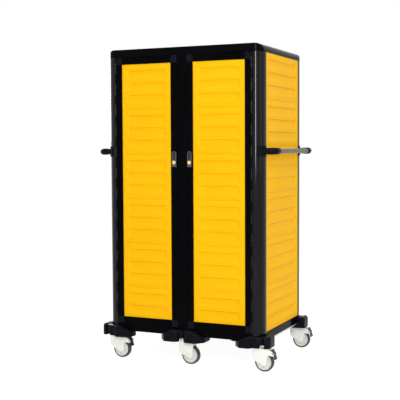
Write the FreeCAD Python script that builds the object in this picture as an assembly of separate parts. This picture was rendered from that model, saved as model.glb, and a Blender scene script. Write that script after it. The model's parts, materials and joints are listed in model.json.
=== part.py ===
import FreeCAD, Part
import math
import os

# Enclosed meal tray cart: two hinged doors, ribbed infill panels, push bars at both ends,
# moulded bumpers and six casters.  Millimetres.  +Z up, +X to the right seen from the doors,
# +Y to the back.  The origin is the centre of the footprint, on the ground.

# ---- overall body -------------------------------------------------------------------------
BODY_WIDTH = 896.0            # across the side faces
BODY_DEPTH = 656.0            # front plane to rear plane
BASE_UNDERSIDE = 152.0        # ground to the underside of the base rails
BASE_RAIL_HEIGHT = 40.0
BASE_RAIL_DEPTH = 36.0
BASE_RAIL_WALL = 3.0
BODY_HEIGHT = 1442.0          # base rails to the top cover
COVER_HEIGHT = 42.0
COVER_WALL = 5.0
COVER_SIDE_ROUND = 38.0       # rounding of the long edges, seen from the front
COVER_PLAN_ROUND = 54.0       # rounding of the four corners, seen from above
SEAT_GAP = 0.3                # between pieces that sit on each other
FREE_GAP = 0.5                # between a moving piece and its slot

# ---- posts --------------------------------------------------------------------------------
POST_WIDTH = 54.0             # along X
POST_DEPTH = 66.0             # along Y
POST_RADIUS = 54.0            # the rounded outer corner
POST_WALL = 4.0
MIDDLE_POST_WIDTH = 50.0
MIDDLE_POST_DEPTH = 38.0
MIDDLE_POST_WALL = 3.0
KEEPER_MARGIN = 16.0          # solid part of the front middle post above and below the bolt slot

# ---- ribbed infill panels -----------------------------------------------------------------
PANEL_THICK = 24.0
PANEL_INSET = 2.5             # panel face behind the face of its frame
MODULE = 240.3                # one moulded field of three channels
CHANNELS_PER_MODULE = 3
CHANNEL_HEIGHT = 49.4
CHANNEL_PITCH = 65.6
CHANNEL_MARGIN = 28.0         # from the panel's upright edges
CHANNEL_DEPTH = 7.0
CHANNEL_DRAFT = 7.0           # how far the channel walls slope in
CHANNEL_END_RADIUS = 15.0
FIELD_GROOVE = 2.4            # width of the fine line between two fields
FIELD_GROOVE_DEPTH = 1.2

# ---- doors --------------------------------------------------------------------------------
DOOR_THICK = 34.0
DOOR_HINGE_GAP = 3.0
DOOR_MIDDLE_GAP = 3.0
DOOR_END_GAP = 2.0            # above and below
DOOR_FRAME = 36.0             # face width of stiles, rails and corner blocks
TONGUE_THICK = 11.0           # the panel's edge, held in the frame's groove
TONGUE_REACH = 8.0
TONGUE_INSET = 9.0            # behind the door's face

# ---- door hinges --------------------------------------------------------------------------
HINGE_PROUD = 2.0             # axis in front of the door's face
KNUCKLE_RADIUS = 4.5
KNUCKLE_PITCH = 113.0         # two knuckles, one of each leaf
KNUCKLE_GAP = 0.5
HINGE_PIN_RADIUS = 1.5
HINGE_PIN_FIT = 0.05
LEAF_THICK = 1.2
LEAF_DEPTH = 26.0

# ---- latch --------------------------------------------------------------------------------
LATCH_PLATE_WIDTH = 25.0
LATCH_PLATE_HEIGHT = 82.0
LATCH_PLATE_THICK = 3.0
LATCH_PLATE_BOTTOM = 1048.0   # above the ground
LATCH_INSET = 4.0             # plate edge to the door's free edge
LOCK_RISE = 23.0              # lock above the plate's lower end
LOCK_FACE_RADIUS = 9.5
LOCK_BODY_RADIUS = 7.0
LOCK_BODY_LENGTH = 20.0
LOCK_PROUD = 2.5
KEYWAY_WIDTH = 1.6
KEYWAY_HEIGHT = 8.0
LEVER_WIDTH = 14.0
LEVER_HEIGHT = 38.0
LEVER_THICK = 5.0
LEVER_PROUD = 2.0
LEVER_TOP_MARGIN = 7.0        # lever top below the plate's top
LEVER_PIVOT_DROP = 4.0        # pivot below the lever's top
LEVER_SWING_GAP = 1.5         # above the lever's rounded top
LEVER_PIN_RADIUS = 1.0
LEVER_PIN_FIT = 0.05
LEVER_PIN_HOLD = 3.0          # the pin's hold in the plate on each side
BOLT_LENGTH = 28.0
BOLT_HEIGHT = 16.0
BOLT_THICK = 8.0
BOLT_THROW = 9.0

# ---- tray racks ---------------------------------------------------------------------------
FLOOR_THICK = 8.0
PARTITION_THICK = 12.0
UPRIGHT_WIDTH = 36.0          # along X
UPRIGHT_DEPTH = 20.0          # along Y
UPRIGHT_WALL = 1.5
UPRIGHT_SPREAD = 380.0        # between the two uprights of a rack
RUNNER_WIDTH = 22.0
RUNNER_THICK = 3.0
RUNNER_END_GAP = 2.0          # to the corner posts
RUNNER_LEVELS = 12
FIRST_RUNNER_RISE = 58.0      # lowest runners above the top of the base rails
RACK_HEADROOM = 130.0         # highest runners below the cover

# ---- push bars ----------------------------------------------------------------------------
HANDLE_HEIGHT = 1129.5
HANDLE_REACH = 57.0           # bar axis outside the side face
HANDLE_BAR_RADIUS = 12.5
HANDLE_BAR_WALL = 2.0
HANDLE_ARM_RADIUS = 15.0
HANDLE_ARM_INSET = 37.0       # arm axis behind the front plane
HANDLE_BEND_RADIUS = 26.0
HANDLE_SOCKET = 24.0          # straight socket that holds the bar's end
CLAMP_HEIGHT = 56.0
CLAMP_THICK = 4.5
CLAMP_SWEEP = 66.0            # degrees of the post's rounding that the clamp covers
CLAMP_TAIL = 8.0              # flat end of the clamp along the side
SCREW_HEAD_RADIUS = 4.0
SCREW_HEAD_HEIGHT = 2.0

# ---- bumpers ------------------------------------------------------------------------------
BUMPER_BOTTOM = 122.0
BUMPER_HEIGHT = 62.0
BUMPER_REACH = 42.0           # in front of the body
BUMPER_WING = 148.0           # from the corner along the front or rear face
BUMPER_WING_TAPER = 34.0      # where the wing runs out to its full reach
BUMPER_SIDE_WING = 86.0       # from the corner along the side face
BUMPER_SIDE_TAPER = 10.0
BUMPER_EDGE = 8.0             # bevel of the lobes' upper edges
LOBE_END = 60.0               # from the body's corner back to the end of the lobe's full reach
LOBE_NOSE = 50.0              # from the body's corner back to the lobe's nose
LOBE_HEEL = 44.0              # from the body's corner back to the foot of the lobe's end
LOBE_NOSE_REACH = 32.0        # in front of the body at the nose
SIDE_LOBE_REACH = 16.0        # the side lobe's nose in front of the front or rear plane
SIDE_LOBE_NOSE = 14.0         # the side lobe's nose outside the side plane
SIDE_LOBE_SHOULDER = 32.0     # where the side lobe turns to run along the side
SIDE_LOBE_END = 12.0          # from the body's corner back to the side lobe's full reach
SIDE_LOBE_ROOT = 40.0         # from the body's corner back to the side lobe's inner root
WEB_REACH = 21.0              # the low web between the two lobes, in front of the body
WEB_END = 14.0                # from the body's corner back to the end of the web
WEB_HEIGHT = 44.0             # above the bumper's underside
CREASE_INSET = 3.0            # the crease at the body's corner
WING_HIGH = 62.0              # from the valley to where the wing's top starts to drop
WING_LOW = 36.0               # drop of the wing's top at its end
MIDDLE_BUMPER_HALF = 127.0
MIDDLE_LOBE_END = 32.0
MIDDLE_LOBE_NOSE = 18.0
MIDDLE_BUMPER_DEPTH = 76.0    # under the body
SILL_THICK = 3.0
SILL_WIDTH = 30.0

# ---- casters ------------------------------------------------------------------------------
WHEEL_RADIUS = 50.0
TREAD_WIDTH = 32.0
TYRE_THICK = 9.0
TREAD_ROUND = 6.0
HUB_BOSS_RADIUS = 13.0
HUB_WEB = 8.0
HUB_RIM = 5.0
AXLE_RADIUS = 4.0
AXLE_FIT = 0.05
AXLE_HEAD_RADIUS = 10.0
AXLE_HEAD = 2.5
FORK_LEG = 4.5
FORK_SIDE_GAP = 2.5           # tyre to fork leg
FORK_TYRE_GAP = 4.0           # tyre to the hood above it
TRAIL = 40.0                  # swivel axis to wheel axle
SWIVEL_SIDE_INSET = 33.0      # swivel axis of a corner caster inside the side plane
SWIVEL_INSET = 20.0           # swivel axis behind the front or rear plane
FORK_TOP = 119.5
HOOD_TOP_BACK = 16.0          # top of the hood behind the swivel axis
HOOD_BACK = 23.0              # fullest part of the hood behind the swivel axis
HOOD_BACK_DROP = 20.0         # fullest part below the top
HOOD_SKIRT = 5.0              # lower back corner behind the swivel axis
HOOD_SKIRT_RISE = 6.0         # lower back corner above the axle
LEG_END_RADIUS = 17.0         # rounded end of the legs round the axle
BEAK_TOP = 20.0               # from the axle to where the beak's top starts to drop
BEAK_UNDER = 37.0             # underside of the beak above the axle
HEAD_RADIUS = 25.0            # swivel head, wide end
HEAD_TOP_RADIUS = 20.0
MOUNT_PLATE_RADIUS = 38.0
MOUNT_PLATE_THICK = 3.0
MOUNT_POCKET = 18.0           # depth of the bumper's pocket
KINGPIN_RADIUS = 6.0
KINGPIN_FIT = 0.05
KINGPIN_DROP = 12.0           # below the top of the fork
PEDAL_WIDTH = 30.0
PEDAL_THICK = 6.0
PEDAL_PIN_RADIUS = 3.0
PEDAL_PIN_FIT = 0.05
PEDAL_PIVOT_X = 90.0          # from the swivel axis
PEDAL_PIVOT_Z = 97.0
PEDAL_TOP_Z = 117.0
PEDAL_FOOT_Z = 66.0
PEDAL_TOP_X = 86.0
PEDAL_FOOT_X = 104.5
PEDAL_ROOM = 22.0             # open space of the hood behind the pedal's pivot

# ---- worked out from the sizes above ------------------------------------------------------
SIDE = BODY_WIDTH / 2.0
FRONT = -BODY_DEPTH / 2.0
BACK = BODY_DEPTH / 2.0
BASE_TOP = BASE_UNDERSIDE + BASE_RAIL_HEIGHT
BODY_TOP = BASE_TOP + BODY_HEIGHT
COVER_TOP = BODY_TOP + COVER_HEIGHT
POST_EDGE = SIDE - POST_WIDTH                # the posts' faces towards the doors
POST_END = BODY_DEPTH / 2.0 - POST_DEPTH     # the posts' faces towards the side panels
MIDDLE_EDGE = MIDDLE_POST_WIDTH / 2.0
BACK_OF_DOOR = FRONT + DOOR_THICK
DOOR_OUTER = POST_EDGE - DOOR_HINGE_GAP
DOOR_INNER = MIDDLE_EDGE + DOOR_MIDDLE_GAP
DOOR_BOTTOM = BASE_TOP + DOOR_END_GAP
DOOR_TOP = BODY_TOP - DOOR_END_GAP
HINGE_X = POST_EDGE - DOOR_HINGE_GAP / 2.0
HINGE_Y = FRONT - HINGE_PROUD
LATCH_X = DOOR_INNER + LATCH_INSET + LATCH_PLATE_WIDTH / 2.0
LATCH_TOP = LATCH_PLATE_BOTTOM + LATCH_PLATE_HEIGHT
PLATE_FACE = FRONT - LATCH_PLATE_THICK
LOCK_Z = LATCH_PLATE_BOTTOM + LOCK_RISE
LEVER_TOP = LATCH_TOP - LEVER_TOP_MARGIN
LEVER_BOTTOM = LEVER_TOP - LEVER_HEIGHT
LEVER_FACE = PLATE_FACE - LEVER_PROUD
LEVER_BACK = LEVER_FACE + LEVER_THICK
LEVER_PIVOT_Z = LEVER_TOP - LEVER_PIVOT_DROP
LEVER_PIVOT_Y = PLATE_FACE + LATCH_PLATE_THICK / 2.0
LEVER_PIN_REACH = LEVER_WIDTH / 2.0 + FREE_GAP + LEVER_PIN_HOLD
LOCK_END = PLATE_FACE + LOCK_BODY_LENGTH
BOLT_FRONT = LOCK_END + FREE_GAP
BOLT_TIP = DOOR_INNER + FREE_GAP
FLOOR_TOP = BASE_TOP + FLOOR_THICK
FIRST_RUNNER = BASE_TOP + FIRST_RUNNER_RISE
RUNNER_PITCH = (BODY_TOP - RACK_HEADROOM - FIRST_RUNNER) / (RUNNER_LEVELS - 1)
PANEL_FACE_X = SIDE - PANEL_INSET
PANEL_BACK_X = PANEL_FACE_X - PANEL_THICK
PANEL_BACK_Y = BACK - PANEL_INSET - PANEL_THICK
MIDDLE_POST_INNER = BODY_DEPTH / 2.0 - MIDDLE_POST_DEPTH
RUNNER_REACH = POST_END - RUNNER_END_GAP
PARTITION_FACE = PARTITION_THICK / 2.0
HANDLE_X = SIDE + HANDLE_REACH
HANDLE_ARM_Y = BODY_DEPTH / 2.0 - HANDLE_ARM_INSET
BAR_END_Y = HANDLE_ARM_Y - HANDLE_BEND_RADIUS
BUMPER_TOP = BUMPER_BOTTOM + BUMPER_HEIGHT
SWIVEL_X = SIDE - SWIVEL_SIDE_INSET
SWIVEL_Y = BODY_DEPTH / 2.0 - SWIVEL_INSET
POCKET_TOP = BUMPER_BOTTOM + MOUNT_POCKET
PLATE_UNDERSIDE = POCKET_TOP - MOUNT_PLATE_THICK
LEG_INNER = TREAD_WIDTH / 2.0 + FORK_SIDE_GAP
LEG_OUTER = LEG_INNER + FORK_LEG
HUB_RADIUS = WHEEL_RADIUS - TYRE_THICK
HOOD_CLEAR = WHEEL_RADIUS + FORK_TYRE_GAP

UP = FreeCAD.Vector(0, 0, 1)
ACROSS = FreeCAD.Vector(1, 0, 0)
BACKWARD = FreeCAD.Vector(0, 1, 0)
ORIGIN = FreeCAD.Vector(0, 0, 0)


def vec(x, y, z):
    return FreeCAD.Vector(x, y, z)


def block(x0, x1, y0, y1, z0, z1):
    """Box between two corners."""
    return Part.makeBox(x1 - x0, y1 - y0, z1 - z0, vec(x0, y0, z0))


def rod(radius, start, end):
    """Cylinder from one point to another."""
    axis = end.sub(start)
    return Part.makeCylinder(radius, axis.Length, start, axis)


def prism(points, push):
    """Straight-sided outline pushed out to a solid."""
    wire = Part.makePolygon(points + [points[0]])
    return Part.Face(wire).extrude(push)


def rounded_rectangle(x0, x1, z0, z1, radius, y):
    """Wire of a rectangle with round corners, in a plane of constant Y."""
    reach = radius * (1.0 - math.sqrt(0.5))
    corners = (
        (vec(x0, y, z0 + radius), vec(x0 + reach, y, z0 + reach), vec(x0 + radius, y, z0)),
        (vec(x1 - radius, y, z0), vec(x1 - reach, y, z0 + reach), vec(x1, y, z0 + radius)),
        (vec(x1, y, z1 - radius), vec(x1 - reach, y, z1 - reach), vec(x1 - radius, y, z1)),
        (vec(x0 + radius, y, z1), vec(x0 + reach, y, z1 - reach), vec(x0, y, z1 - radius)),
    )
    edges = []
    for index, (start, middle, end) in enumerate(corners):
        following = corners[(index + 1) % len(corners)][0]
        edges.append(Part.Arc(start, middle, end).toShape())
        edges.append(Part.LineSegment(end, following).toShape())
    return Part.Wire(edges)


def mirror_x(shape):
    return shape.mirror(ORIGIN, ACROSS)


def mirror_y(shape):
    return shape.mirror(ORIGIN, BACKWARD)


def both_ends(shape):
    """A piece on the right and its mirror image on the left."""
    return [shape, mirror_x(shape)]


def four_corners(shape):
    """A piece at the rear right corner and its mirror images at the other three."""
    pair = both_ends(shape)
    return pair + [mirror_y(piece) for piece in pair]


def save(node, *solids):
    """Write one node: a solid, or a group of separate solids."""
    shape = solids[0] if len(solids) == 1 else Part.makeCompound(list(solids))
    shape.exportStep(os.path.join("parts", node + ".step"))


# ---- posts and shell ----------------------------------------------------------------------

def post_outline(grow, z0, z1):
    """The rear right corner post's rounded outline as a solid, moved out by grow."""
    centre_x = SIDE - POST_RADIUS
    centre_y = BACK - POST_RADIUS
    whole = block(POST_EDGE - grow, SIDE + grow, POST_END - grow, BACK + grow, z0, z1)
    square = block(centre_x, SIDE + grow, centre_y, BACK + grow, z0, z1)
    rounding = rod(POST_RADIUS + grow, vec(centre_x, centre_y, z0), vec(centre_x, centre_y, z1))
    return whole.cut(square.cut(rounding))


def corner_post():
    """Hollow corner profile with its rounded outer corner, at the rear right."""
    outer = post_outline(0.0, BASE_UNDERSIDE, BODY_TOP)
    hollow = post_outline(-POST_WALL, BASE_UNDERSIDE, BODY_TOP)
    return outer.cut(hollow)


def front_corner_post():
    """Corner post at the front right, with its edge relieved for the hinge knuckles."""
    relief_radius = KNUCKLE_RADIUS + FREE_GAP
    relief = rod(relief_radius, vec(HINGE_X, HINGE_Y, DOOR_BOTTOM), vec(HINGE_X, HINGE_Y, DOOR_TOP))
    return mirror_y(corner_post()).cut(relief)


def middle_post():
    """Hollow post between the two rear panels."""
    outer = block(-MIDDLE_EDGE, MIDDLE_EDGE, MIDDLE_POST_INNER, BACK, BASE_TOP, BODY_TOP)
    wall = MIDDLE_POST_WALL
    hollow = block(-MIDDLE_EDGE + wall, MIDDLE_EDGE - wall, MIDDLE_POST_INNER + wall, BACK - wall,
                   BASE_TOP, BODY_TOP)
    return outer.cut(hollow)


def front_middle_post():
    """Hollow post between the doors, solid round the slot that takes the door bolts."""
    low = LOCK_Z - BOLT_HEIGHT / 2.0 - FREE_GAP
    high = LOCK_Z + BOLT_HEIGHT / 2.0 + FREE_GAP
    keeper = block(-MIDDLE_EDGE, MIDDLE_EDGE, FRONT, FRONT + MIDDLE_POST_DEPTH,
                   low - KEEPER_MARGIN, high + KEEPER_MARGIN)
    slot = block(-MIDDLE_EDGE, MIDDLE_EDGE, BOLT_FRONT - FREE_GAP, BOLT_FRONT + BOLT_THICK + FREE_GAP,
                 low, high)
    return mirror_y(middle_post()).fuse(keeper).removeSplitter().cut(slot)


def arch_outline(inset, top, y0, y1):
    """The cover's section seen from the front, rounded at both upper corners."""
    radius = COVER_SIDE_ROUND - inset
    side = SIDE - inset
    reach = radius * (1.0 - math.sqrt(0.5))
    right_low = vec(side, y0, BODY_TOP)
    right_high = vec(side, y0, top - radius)
    top_right = vec(side - radius, y0, top)
    top_left = vec(radius - side, y0, top)
    left_high = vec(-side, y0, top - radius)
    left_low = vec(-side, y0, BODY_TOP)
    edges = [
        Part.LineSegment(left_low, right_low).toShape(),
        Part.LineSegment(right_low, right_high).toShape(),
        Part.Arc(right_high, vec(side - reach, y0, top - reach), top_right).toShape(),
        Part.LineSegment(top_right, top_left).toShape(),
        Part.Arc(top_left, vec(reach - side, y0, top - reach), left_high).toShape(),
        Part.LineSegment(left_high, left_low).toShape(),
    ]
    return Part.Face(Part.Wire(edges)).extrude(vec(0, y1 - y0, 0))


def plan_slab(inset, radius):
    """Upright block over the whole body with its four upright edges rounded."""
    slab = block(-SIDE + inset, SIDE - inset, FRONT + inset, BACK - inset, BODY_TOP, COVER_TOP)
    upright = [edge for edge in slab.Edges if abs(edge.tangentAt(edge.FirstParameter).z) > 0.9]
    return slab.makeFillet(radius, upright)


def top_cover():
    """Moulded lid, hollow underneath, standing on the posts and panels."""
    outer = arch_outline(0.0, COVER_TOP, FRONT, BACK).common(plan_slab(0.0, COVER_PLAN_ROUND))
    hollow = arch_outline(COVER_WALL, COVER_TOP - COVER_WALL, FRONT + COVER_WALL, BACK - COVER_WALL)
    hollow = hollow.common(plan_slab(COVER_WALL, COVER_PLAN_ROUND - COVER_WALL))
    return outer.cut(hollow)


def rail_tube(x0, x1, y0, y1, along_x):
    """Rectangular tube of the base."""
    wall = BASE_RAIL_WALL
    outer = block(x0, x1, y0, y1, BASE_UNDERSIDE, BASE_TOP)
    side_x = 0.0 if along_x else wall
    side_y = wall if along_x else 0.0
    hollow = block(x0 + side_x, x1 - side_x, y0 + side_y, y1 - side_y,
                   BASE_UNDERSIDE + wall, BASE_TOP - wall)
    return outer.cut(hollow)


def base_rails():
    """Four tubes between the feet of the corner posts."""
    end_x = POST_EDGE - SEAT_GAP
    end_y = POST_END - SEAT_GAP
    rear = rail_tube(-end_x, end_x, BACK - BASE_RAIL_DEPTH, BACK, True)
    side = rail_tube(SIDE - BASE_RAIL_DEPTH, SIDE, -end_y, end_y, False)
    return [rear, mirror_y(rear), side, mirror_x(side)]


def floor_panel():
    """Floor of the tray compartments, cut out round the posts."""
    inner_x = PANEL_BACK_X - SEAT_GAP
    floor = block(-inner_x, inner_x, BACK_OF_DOOR + DOOR_END_GAP, PANEL_BACK_Y - SEAT_GAP,
                  BASE_TOP, FLOOR_TOP)
    posts = [post_outline(SEAT_GAP, BASE_TOP, FLOOR_TOP)]
    posts += [mirror_x(posts[0]), mirror_y(posts[0]), mirror_x(mirror_y(posts[0]))]
    middle_x = MIDDLE_EDGE + SEAT_GAP
    rear_middle = block(-middle_x, middle_x, MIDDLE_POST_INNER - SEAT_GAP, BACK, BASE_TOP, FLOOR_TOP)
    return floor.cut(posts + [rear_middle, mirror_y(rear_middle)])


def partition():
    """Wall between the two tray columns."""
    reach = MIDDLE_POST_INNER - SEAT_GAP
    return block(-PARTITION_FACE, PARTITION_FACE, -reach, reach, FLOOR_TOP, BODY_TOP - SEAT_GAP)


# ---- ribbed panels ------------------------------------------------------------------------

def channel(x0, x1, z0, z1):
    """Cutter for one channel: round-ended, with sloping walls, open towards -Y at y = 0."""
    lift = 1.0                               # the cutter starts this far in front of the face
    slope = CHANNEL_DRAFT / CHANNEL_DEPTH
    out = slope * lift
    mouth = rounded_rectangle(x0 - out, x1 + out, z0 - out, z1 + out, CHANNEL_END_RADIUS + out, -lift)
    inner = CHANNEL_DRAFT
    bed = rounded_rectangle(x0 + inner, x1 - inner, z0 + inner, z1 - inner,
                            CHANNEL_END_RADIUS - inner, CHANNEL_DEPTH)
    return Part.makeLoft([mouth, bed], True, True)


def channel_cutters(width, height):
    """All channels of a panel, counted down from its top, one field after another."""
    cutters = []
    middle = (CHANNELS_PER_MODULE - 1) / 2.0
    fields = int(math.ceil(height / MODULE - 0.01))
    for field in range(fields):
        field_top = height - field * MODULE
        for index in range(CHANNELS_PER_MODULE):
            centre = field_top - MODULE / 2.0 - (index - middle) * CHANNEL_PITCH
            low = centre - CHANNEL_HEIGHT / 2.0
            if low > CHANNEL_DRAFT:
                cutters.append(channel(CHANNEL_MARGIN, width - CHANNEL_MARGIN, low, low + CHANNEL_HEIGHT))
        if field > 0:
            cutters.append(block(0.0, width, -1.0, FIELD_GROOVE_DEPTH,
                                 field_top - FIELD_GROOVE / 2.0, field_top + FIELD_GROOVE / 2.0))
    return cutters


def ribbed_panel(width, height):
    """Panel with its lower left corner at the origin and its ribbed face at y = 0."""
    slab = block(0.0, width, 0.0, PANEL_THICK, 0.0, height)
    return slab.cut(channel_cutters(width, height))


def side_panel():
    """Full-height panel of the right side, between the two corner posts."""
    width = 2.0 * (POST_END - SEAT_GAP)
    panel = ribbed_panel(width, BODY_HEIGHT - 2.0 * SEAT_GAP)
    panel.rotate(ORIGIN, UP, 90)
    panel.translate(vec(PANEL_FACE_X, -width / 2.0, BASE_TOP + SEAT_GAP))
    return panel


def rear_panel():
    """Panel on the right half of the back, between corner post and middle post."""
    x0 = MIDDLE_EDGE + SEAT_GAP
    width = POST_EDGE - SEAT_GAP - x0
    panel = ribbed_panel(width, BODY_HEIGHT - 2.0 * SEAT_GAP)
    panel.rotate(ORIGIN, UP, 180)
    panel.translate(vec(x0 + width, BACK - PANEL_INSET, BASE_TOP + SEAT_GAP))
    return panel


# ---- doors --------------------------------------------------------------------------------

def frame_groove():
    """Space in the right door's frame for the panel and its tongue."""
    y0 = FRONT + TONGUE_INSET - SEAT_GAP
    return block(DOOR_INNER + DOOR_FRAME - TONGUE_REACH, DOOR_OUTER - DOOR_FRAME + TONGUE_REACH,
                 y0, y0 + TONGUE_THICK + 2.0 * SEAT_GAP,
                 DOOR_BOTTOM + DOOR_FRAME - TONGUE_REACH, DOOR_TOP - DOOR_FRAME + TONGUE_REACH)


def latch_hollows():
    """Recess for the lever, bore for the lock and channel for the bolt in the latch stile."""
    half = LEVER_WIDTH / 2.0 + FREE_GAP
    recess = block(LATCH_X - half, LATCH_X + half, FRONT, LEVER_BACK + LEVER_THICK,
                   LEVER_BOTTOM - FREE_GAP, LEVER_TOP + LEVER_SWING_GAP)
    bore = rod(LOCK_BODY_RADIUS + FREE_GAP, vec(LATCH_X, FRONT, LOCK_Z), vec(LATCH_X, BOLT_FRONT, LOCK_Z))
    channel_half = BOLT_HEIGHT / 2.0 + SEAT_GAP
    bolt_way = block(DOOR_INNER, BOLT_TIP + BOLT_LENGTH + SEAT_GAP, BOLT_FRONT - SEAT_GAP,
                     BOLT_FRONT + BOLT_THICK + SEAT_GAP, LOCK_Z - channel_half, LOCK_Z + channel_half)
    return [recess, bore, bolt_way]


def door_frame():
    """Two stiles and two rails of the right door, between its corner blocks."""
    inner_z0 = DOOR_BOTTOM + DOOR_FRAME
    inner_z1 = DOOR_TOP - DOOR_FRAME
    inner_x0 = DOOR_INNER + DOOR_FRAME
    inner_x1 = DOOR_OUTER - DOOR_FRAME
    hinge_stile = block(inner_x1, DOOR_OUTER, FRONT, BACK_OF_DOOR, inner_z0, inner_z1)
    latch_stile = block(DOOR_INNER, inner_x0, FRONT, BACK_OF_DOOR, inner_z0, inner_z1)
    low_rail = block(inner_x0, inner_x1, FRONT, BACK_OF_DOOR, DOOR_BOTTOM, inner_z0)
    high_rail = block(inner_x0, inner_x1, FRONT, BACK_OF_DOOR, inner_z1, DOOR_TOP)
    groove = frame_groove()
    hinge_stile = hinge_stile.cut([groove, knuckle_relief()])
    latch_stile = latch_stile.cut([groove] + latch_hollows())
    return [hinge_stile, latch_stile, low_rail.cut(groove), high_rail.cut(groove)]


def door_corners():
    """Four moulded corner blocks of the right door."""
    blocks = []
    groove = frame_groove()
    for x0 in (DOOR_INNER, DOOR_OUTER - DOOR_FRAME):
        for z0 in (DOOR_BOTTOM, DOOR_TOP - DOOR_FRAME):
            corner = block(x0, x0 + DOOR_FRAME, FRONT, BACK_OF_DOOR, z0, z0 + DOOR_FRAME)
            blocks.append(corner.cut([groove, knuckle_relief()]))
    return blocks


def door_panel():
    """Ribbed panel of the right door with the tongue that the frame grips."""
    x0 = DOOR_INNER + DOOR_FRAME + SEAT_GAP
    width = DOOR_OUTER - DOOR_FRAME - SEAT_GAP - x0
    z0 = DOOR_BOTTOM + DOOR_FRAME + SEAT_GAP
    height = DOOR_TOP - DOOR_FRAME - SEAT_GAP - z0
    panel = ribbed_panel(width, height)
    panel.translate(vec(x0, FRONT + PANEL_INSET, z0))
    reach = TONGUE_REACH - 2.0 * SEAT_GAP
    tongue = block(x0 - reach, x0 + width + reach, FRONT + TONGUE_INSET,
                   FRONT + TONGUE_INSET + TONGUE_THICK, z0 - reach, z0 + height + reach)
    face = block(x0 + reach, x0 + width - reach, FRONT, FRONT + TONGUE_INSET + TONGUE_THICK,
                 z0 + reach, z0 + height - reach)
    return panel.fuse(tongue.cut(face)).removeSplitter()


# ---- hinges -------------------------------------------------------------------------------

def knuckle_relief():
    radius = KNUCKLE_RADIUS + FREE_GAP
    return rod(radius, vec(HINGE_X, HINGE_Y, DOOR_BOTTOM), vec(HINGE_X, HINGE_Y, DOOR_TOP))


def hinge_leaf(side, phase):
    """Leaf on one side of the axis (+1 post, -1 door) with every second knuckle from phase."""
    near = DOOR_HINGE_GAP / 2.0 - LEAF_THICK
    far = DOOR_HINGE_GAP / 2.0
    x0 = HINGE_X + min(side * near, side * far)
    leaf = block(x0, x0 + LEAF_THICK, HINGE_Y, HINGE_Y + LEAF_DEPTH, DOOR_BOTTOM, DOOR_TOP)
    length = KNUCKLE_PITCH / 2.0
    count = int((DOOR_TOP - DOOR_BOTTOM) / length)
    own = []
    foreign = []
    for index in range(count + 1):
        low = DOOR_BOTTOM + index * length
        high = min(low + length, DOOR_TOP)
        if index % 2 == phase:
            own.append(rod(KNUCKLE_RADIUS, vec(HINGE_X, HINGE_Y, low + KNUCKLE_GAP / 2.0),
                           vec(HINGE_X, HINGE_Y, high - KNUCKLE_GAP / 2.0)))
        else:
            foreign.append(rod(KNUCKLE_RADIUS + FREE_GAP, vec(HINGE_X, HINGE_Y, low - KNUCKLE_GAP / 2.0),
                               vec(HINGE_X, HINGE_Y, high + KNUCKLE_GAP / 2.0)))
    bore = rod(HINGE_PIN_RADIUS + HINGE_PIN_FIT, vec(HINGE_X, HINGE_Y, DOOR_BOTTOM),
               vec(HINGE_X, HINGE_Y, DOOR_TOP))
    return leaf.cut(foreign).fuse(own).cut(bore)


def hinge_pin():
    return rod(HINGE_PIN_RADIUS, vec(HINGE_X, HINGE_Y, DOOR_BOTTOM), vec(HINGE_X, HINGE_Y, DOOR_TOP))


# ---- latches ------------------------------------------------------------------------------

def latch_plate():
    """Oblong plate on the latch stile with openings for the lever and the lock."""
    half = LATCH_PLATE_WIDTH / 2.0
    plate = block(LATCH_X - half, LATCH_X + half, PLATE_FACE, FRONT, LATCH_PLATE_BOTTOM, LATCH_TOP - half)
    crown = rod(half, vec(LATCH_X, PLATE_FACE, LATCH_TOP - half), vec(LATCH_X, FRONT, LATCH_TOP - half))
    window_half = LEVER_WIDTH / 2.0 + FREE_GAP
    window = block(LATCH_X - window_half, LATCH_X + window_half, PLATE_FACE, FRONT,
                   LEVER_BOTTOM - FREE_GAP, LEVER_TOP + LEVER_SWING_GAP)
    bore = rod(LOCK_BODY_RADIUS + FREE_GAP, vec(LATCH_X, PLATE_FACE, LOCK_Z), vec(LATCH_X, FRONT, LOCK_Z))
    return plate.fuse(crown).removeSplitter().cut([window, bore, lever_pin(LEVER_PIN_FIT)])


def lever_pin(clearance):
    """Pivot pin across the plate's window, or its bore with a clearance."""
    return rod(LEVER_PIN_RADIUS + clearance,
               vec(LATCH_X - LEVER_PIN_REACH - clearance, LEVER_PIVOT_Y, LEVER_PIVOT_Z),
               vec(LATCH_X + LEVER_PIN_REACH + clearance, LEVER_PIVOT_Y, LEVER_PIVOT_Z))


def latch_lever():
    """Pull lever that turns about the pin near its upper end."""
    half = LEVER_WIDTH / 2.0
    lever = block(LATCH_X - half, LATCH_X + half, LEVER_FACE, LEVER_BACK, LEVER_BOTTOM, LEVER_TOP)
    crown = [edge for edge in lever.Edges
             if abs(edge.tangentAt(edge.FirstParameter).x) > 0.9 and edge.CenterOfMass.z > LEVER_PIVOT_Z]
    return lever.makeFillet(LEVER_THICK / 2.0 - 0.1, crown).cut(lever_pin(LEVER_PIN_FIT))


def lock_barrel():
    """Round lock face with its keyway, and the barrel behind it."""
    face = rod(LOCK_FACE_RADIUS, vec(LATCH_X, PLATE_FACE - LOCK_PROUD, LOCK_Z),
               vec(LATCH_X, PLATE_FACE - SEAT_GAP, LOCK_Z))
    barrel = rod(LOCK_BODY_RADIUS, vec(LATCH_X, PLATE_FACE - LOCK_PROUD, LOCK_Z),
                 vec(LATCH_X, LOCK_END, LOCK_Z))
    keyway = block(LATCH_X - KEYWAY_WIDTH / 2.0, LATCH_X + KEYWAY_WIDTH / 2.0,
                   PLATE_FACE - LOCK_PROUD, PLATE_FACE + LOCK_PROUD,
                   LOCK_Z - KEYWAY_HEIGHT / 2.0, LOCK_Z + KEYWAY_HEIGHT / 2.0)
    return face.fuse(barrel).removeSplitter().cut(keyway)


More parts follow.
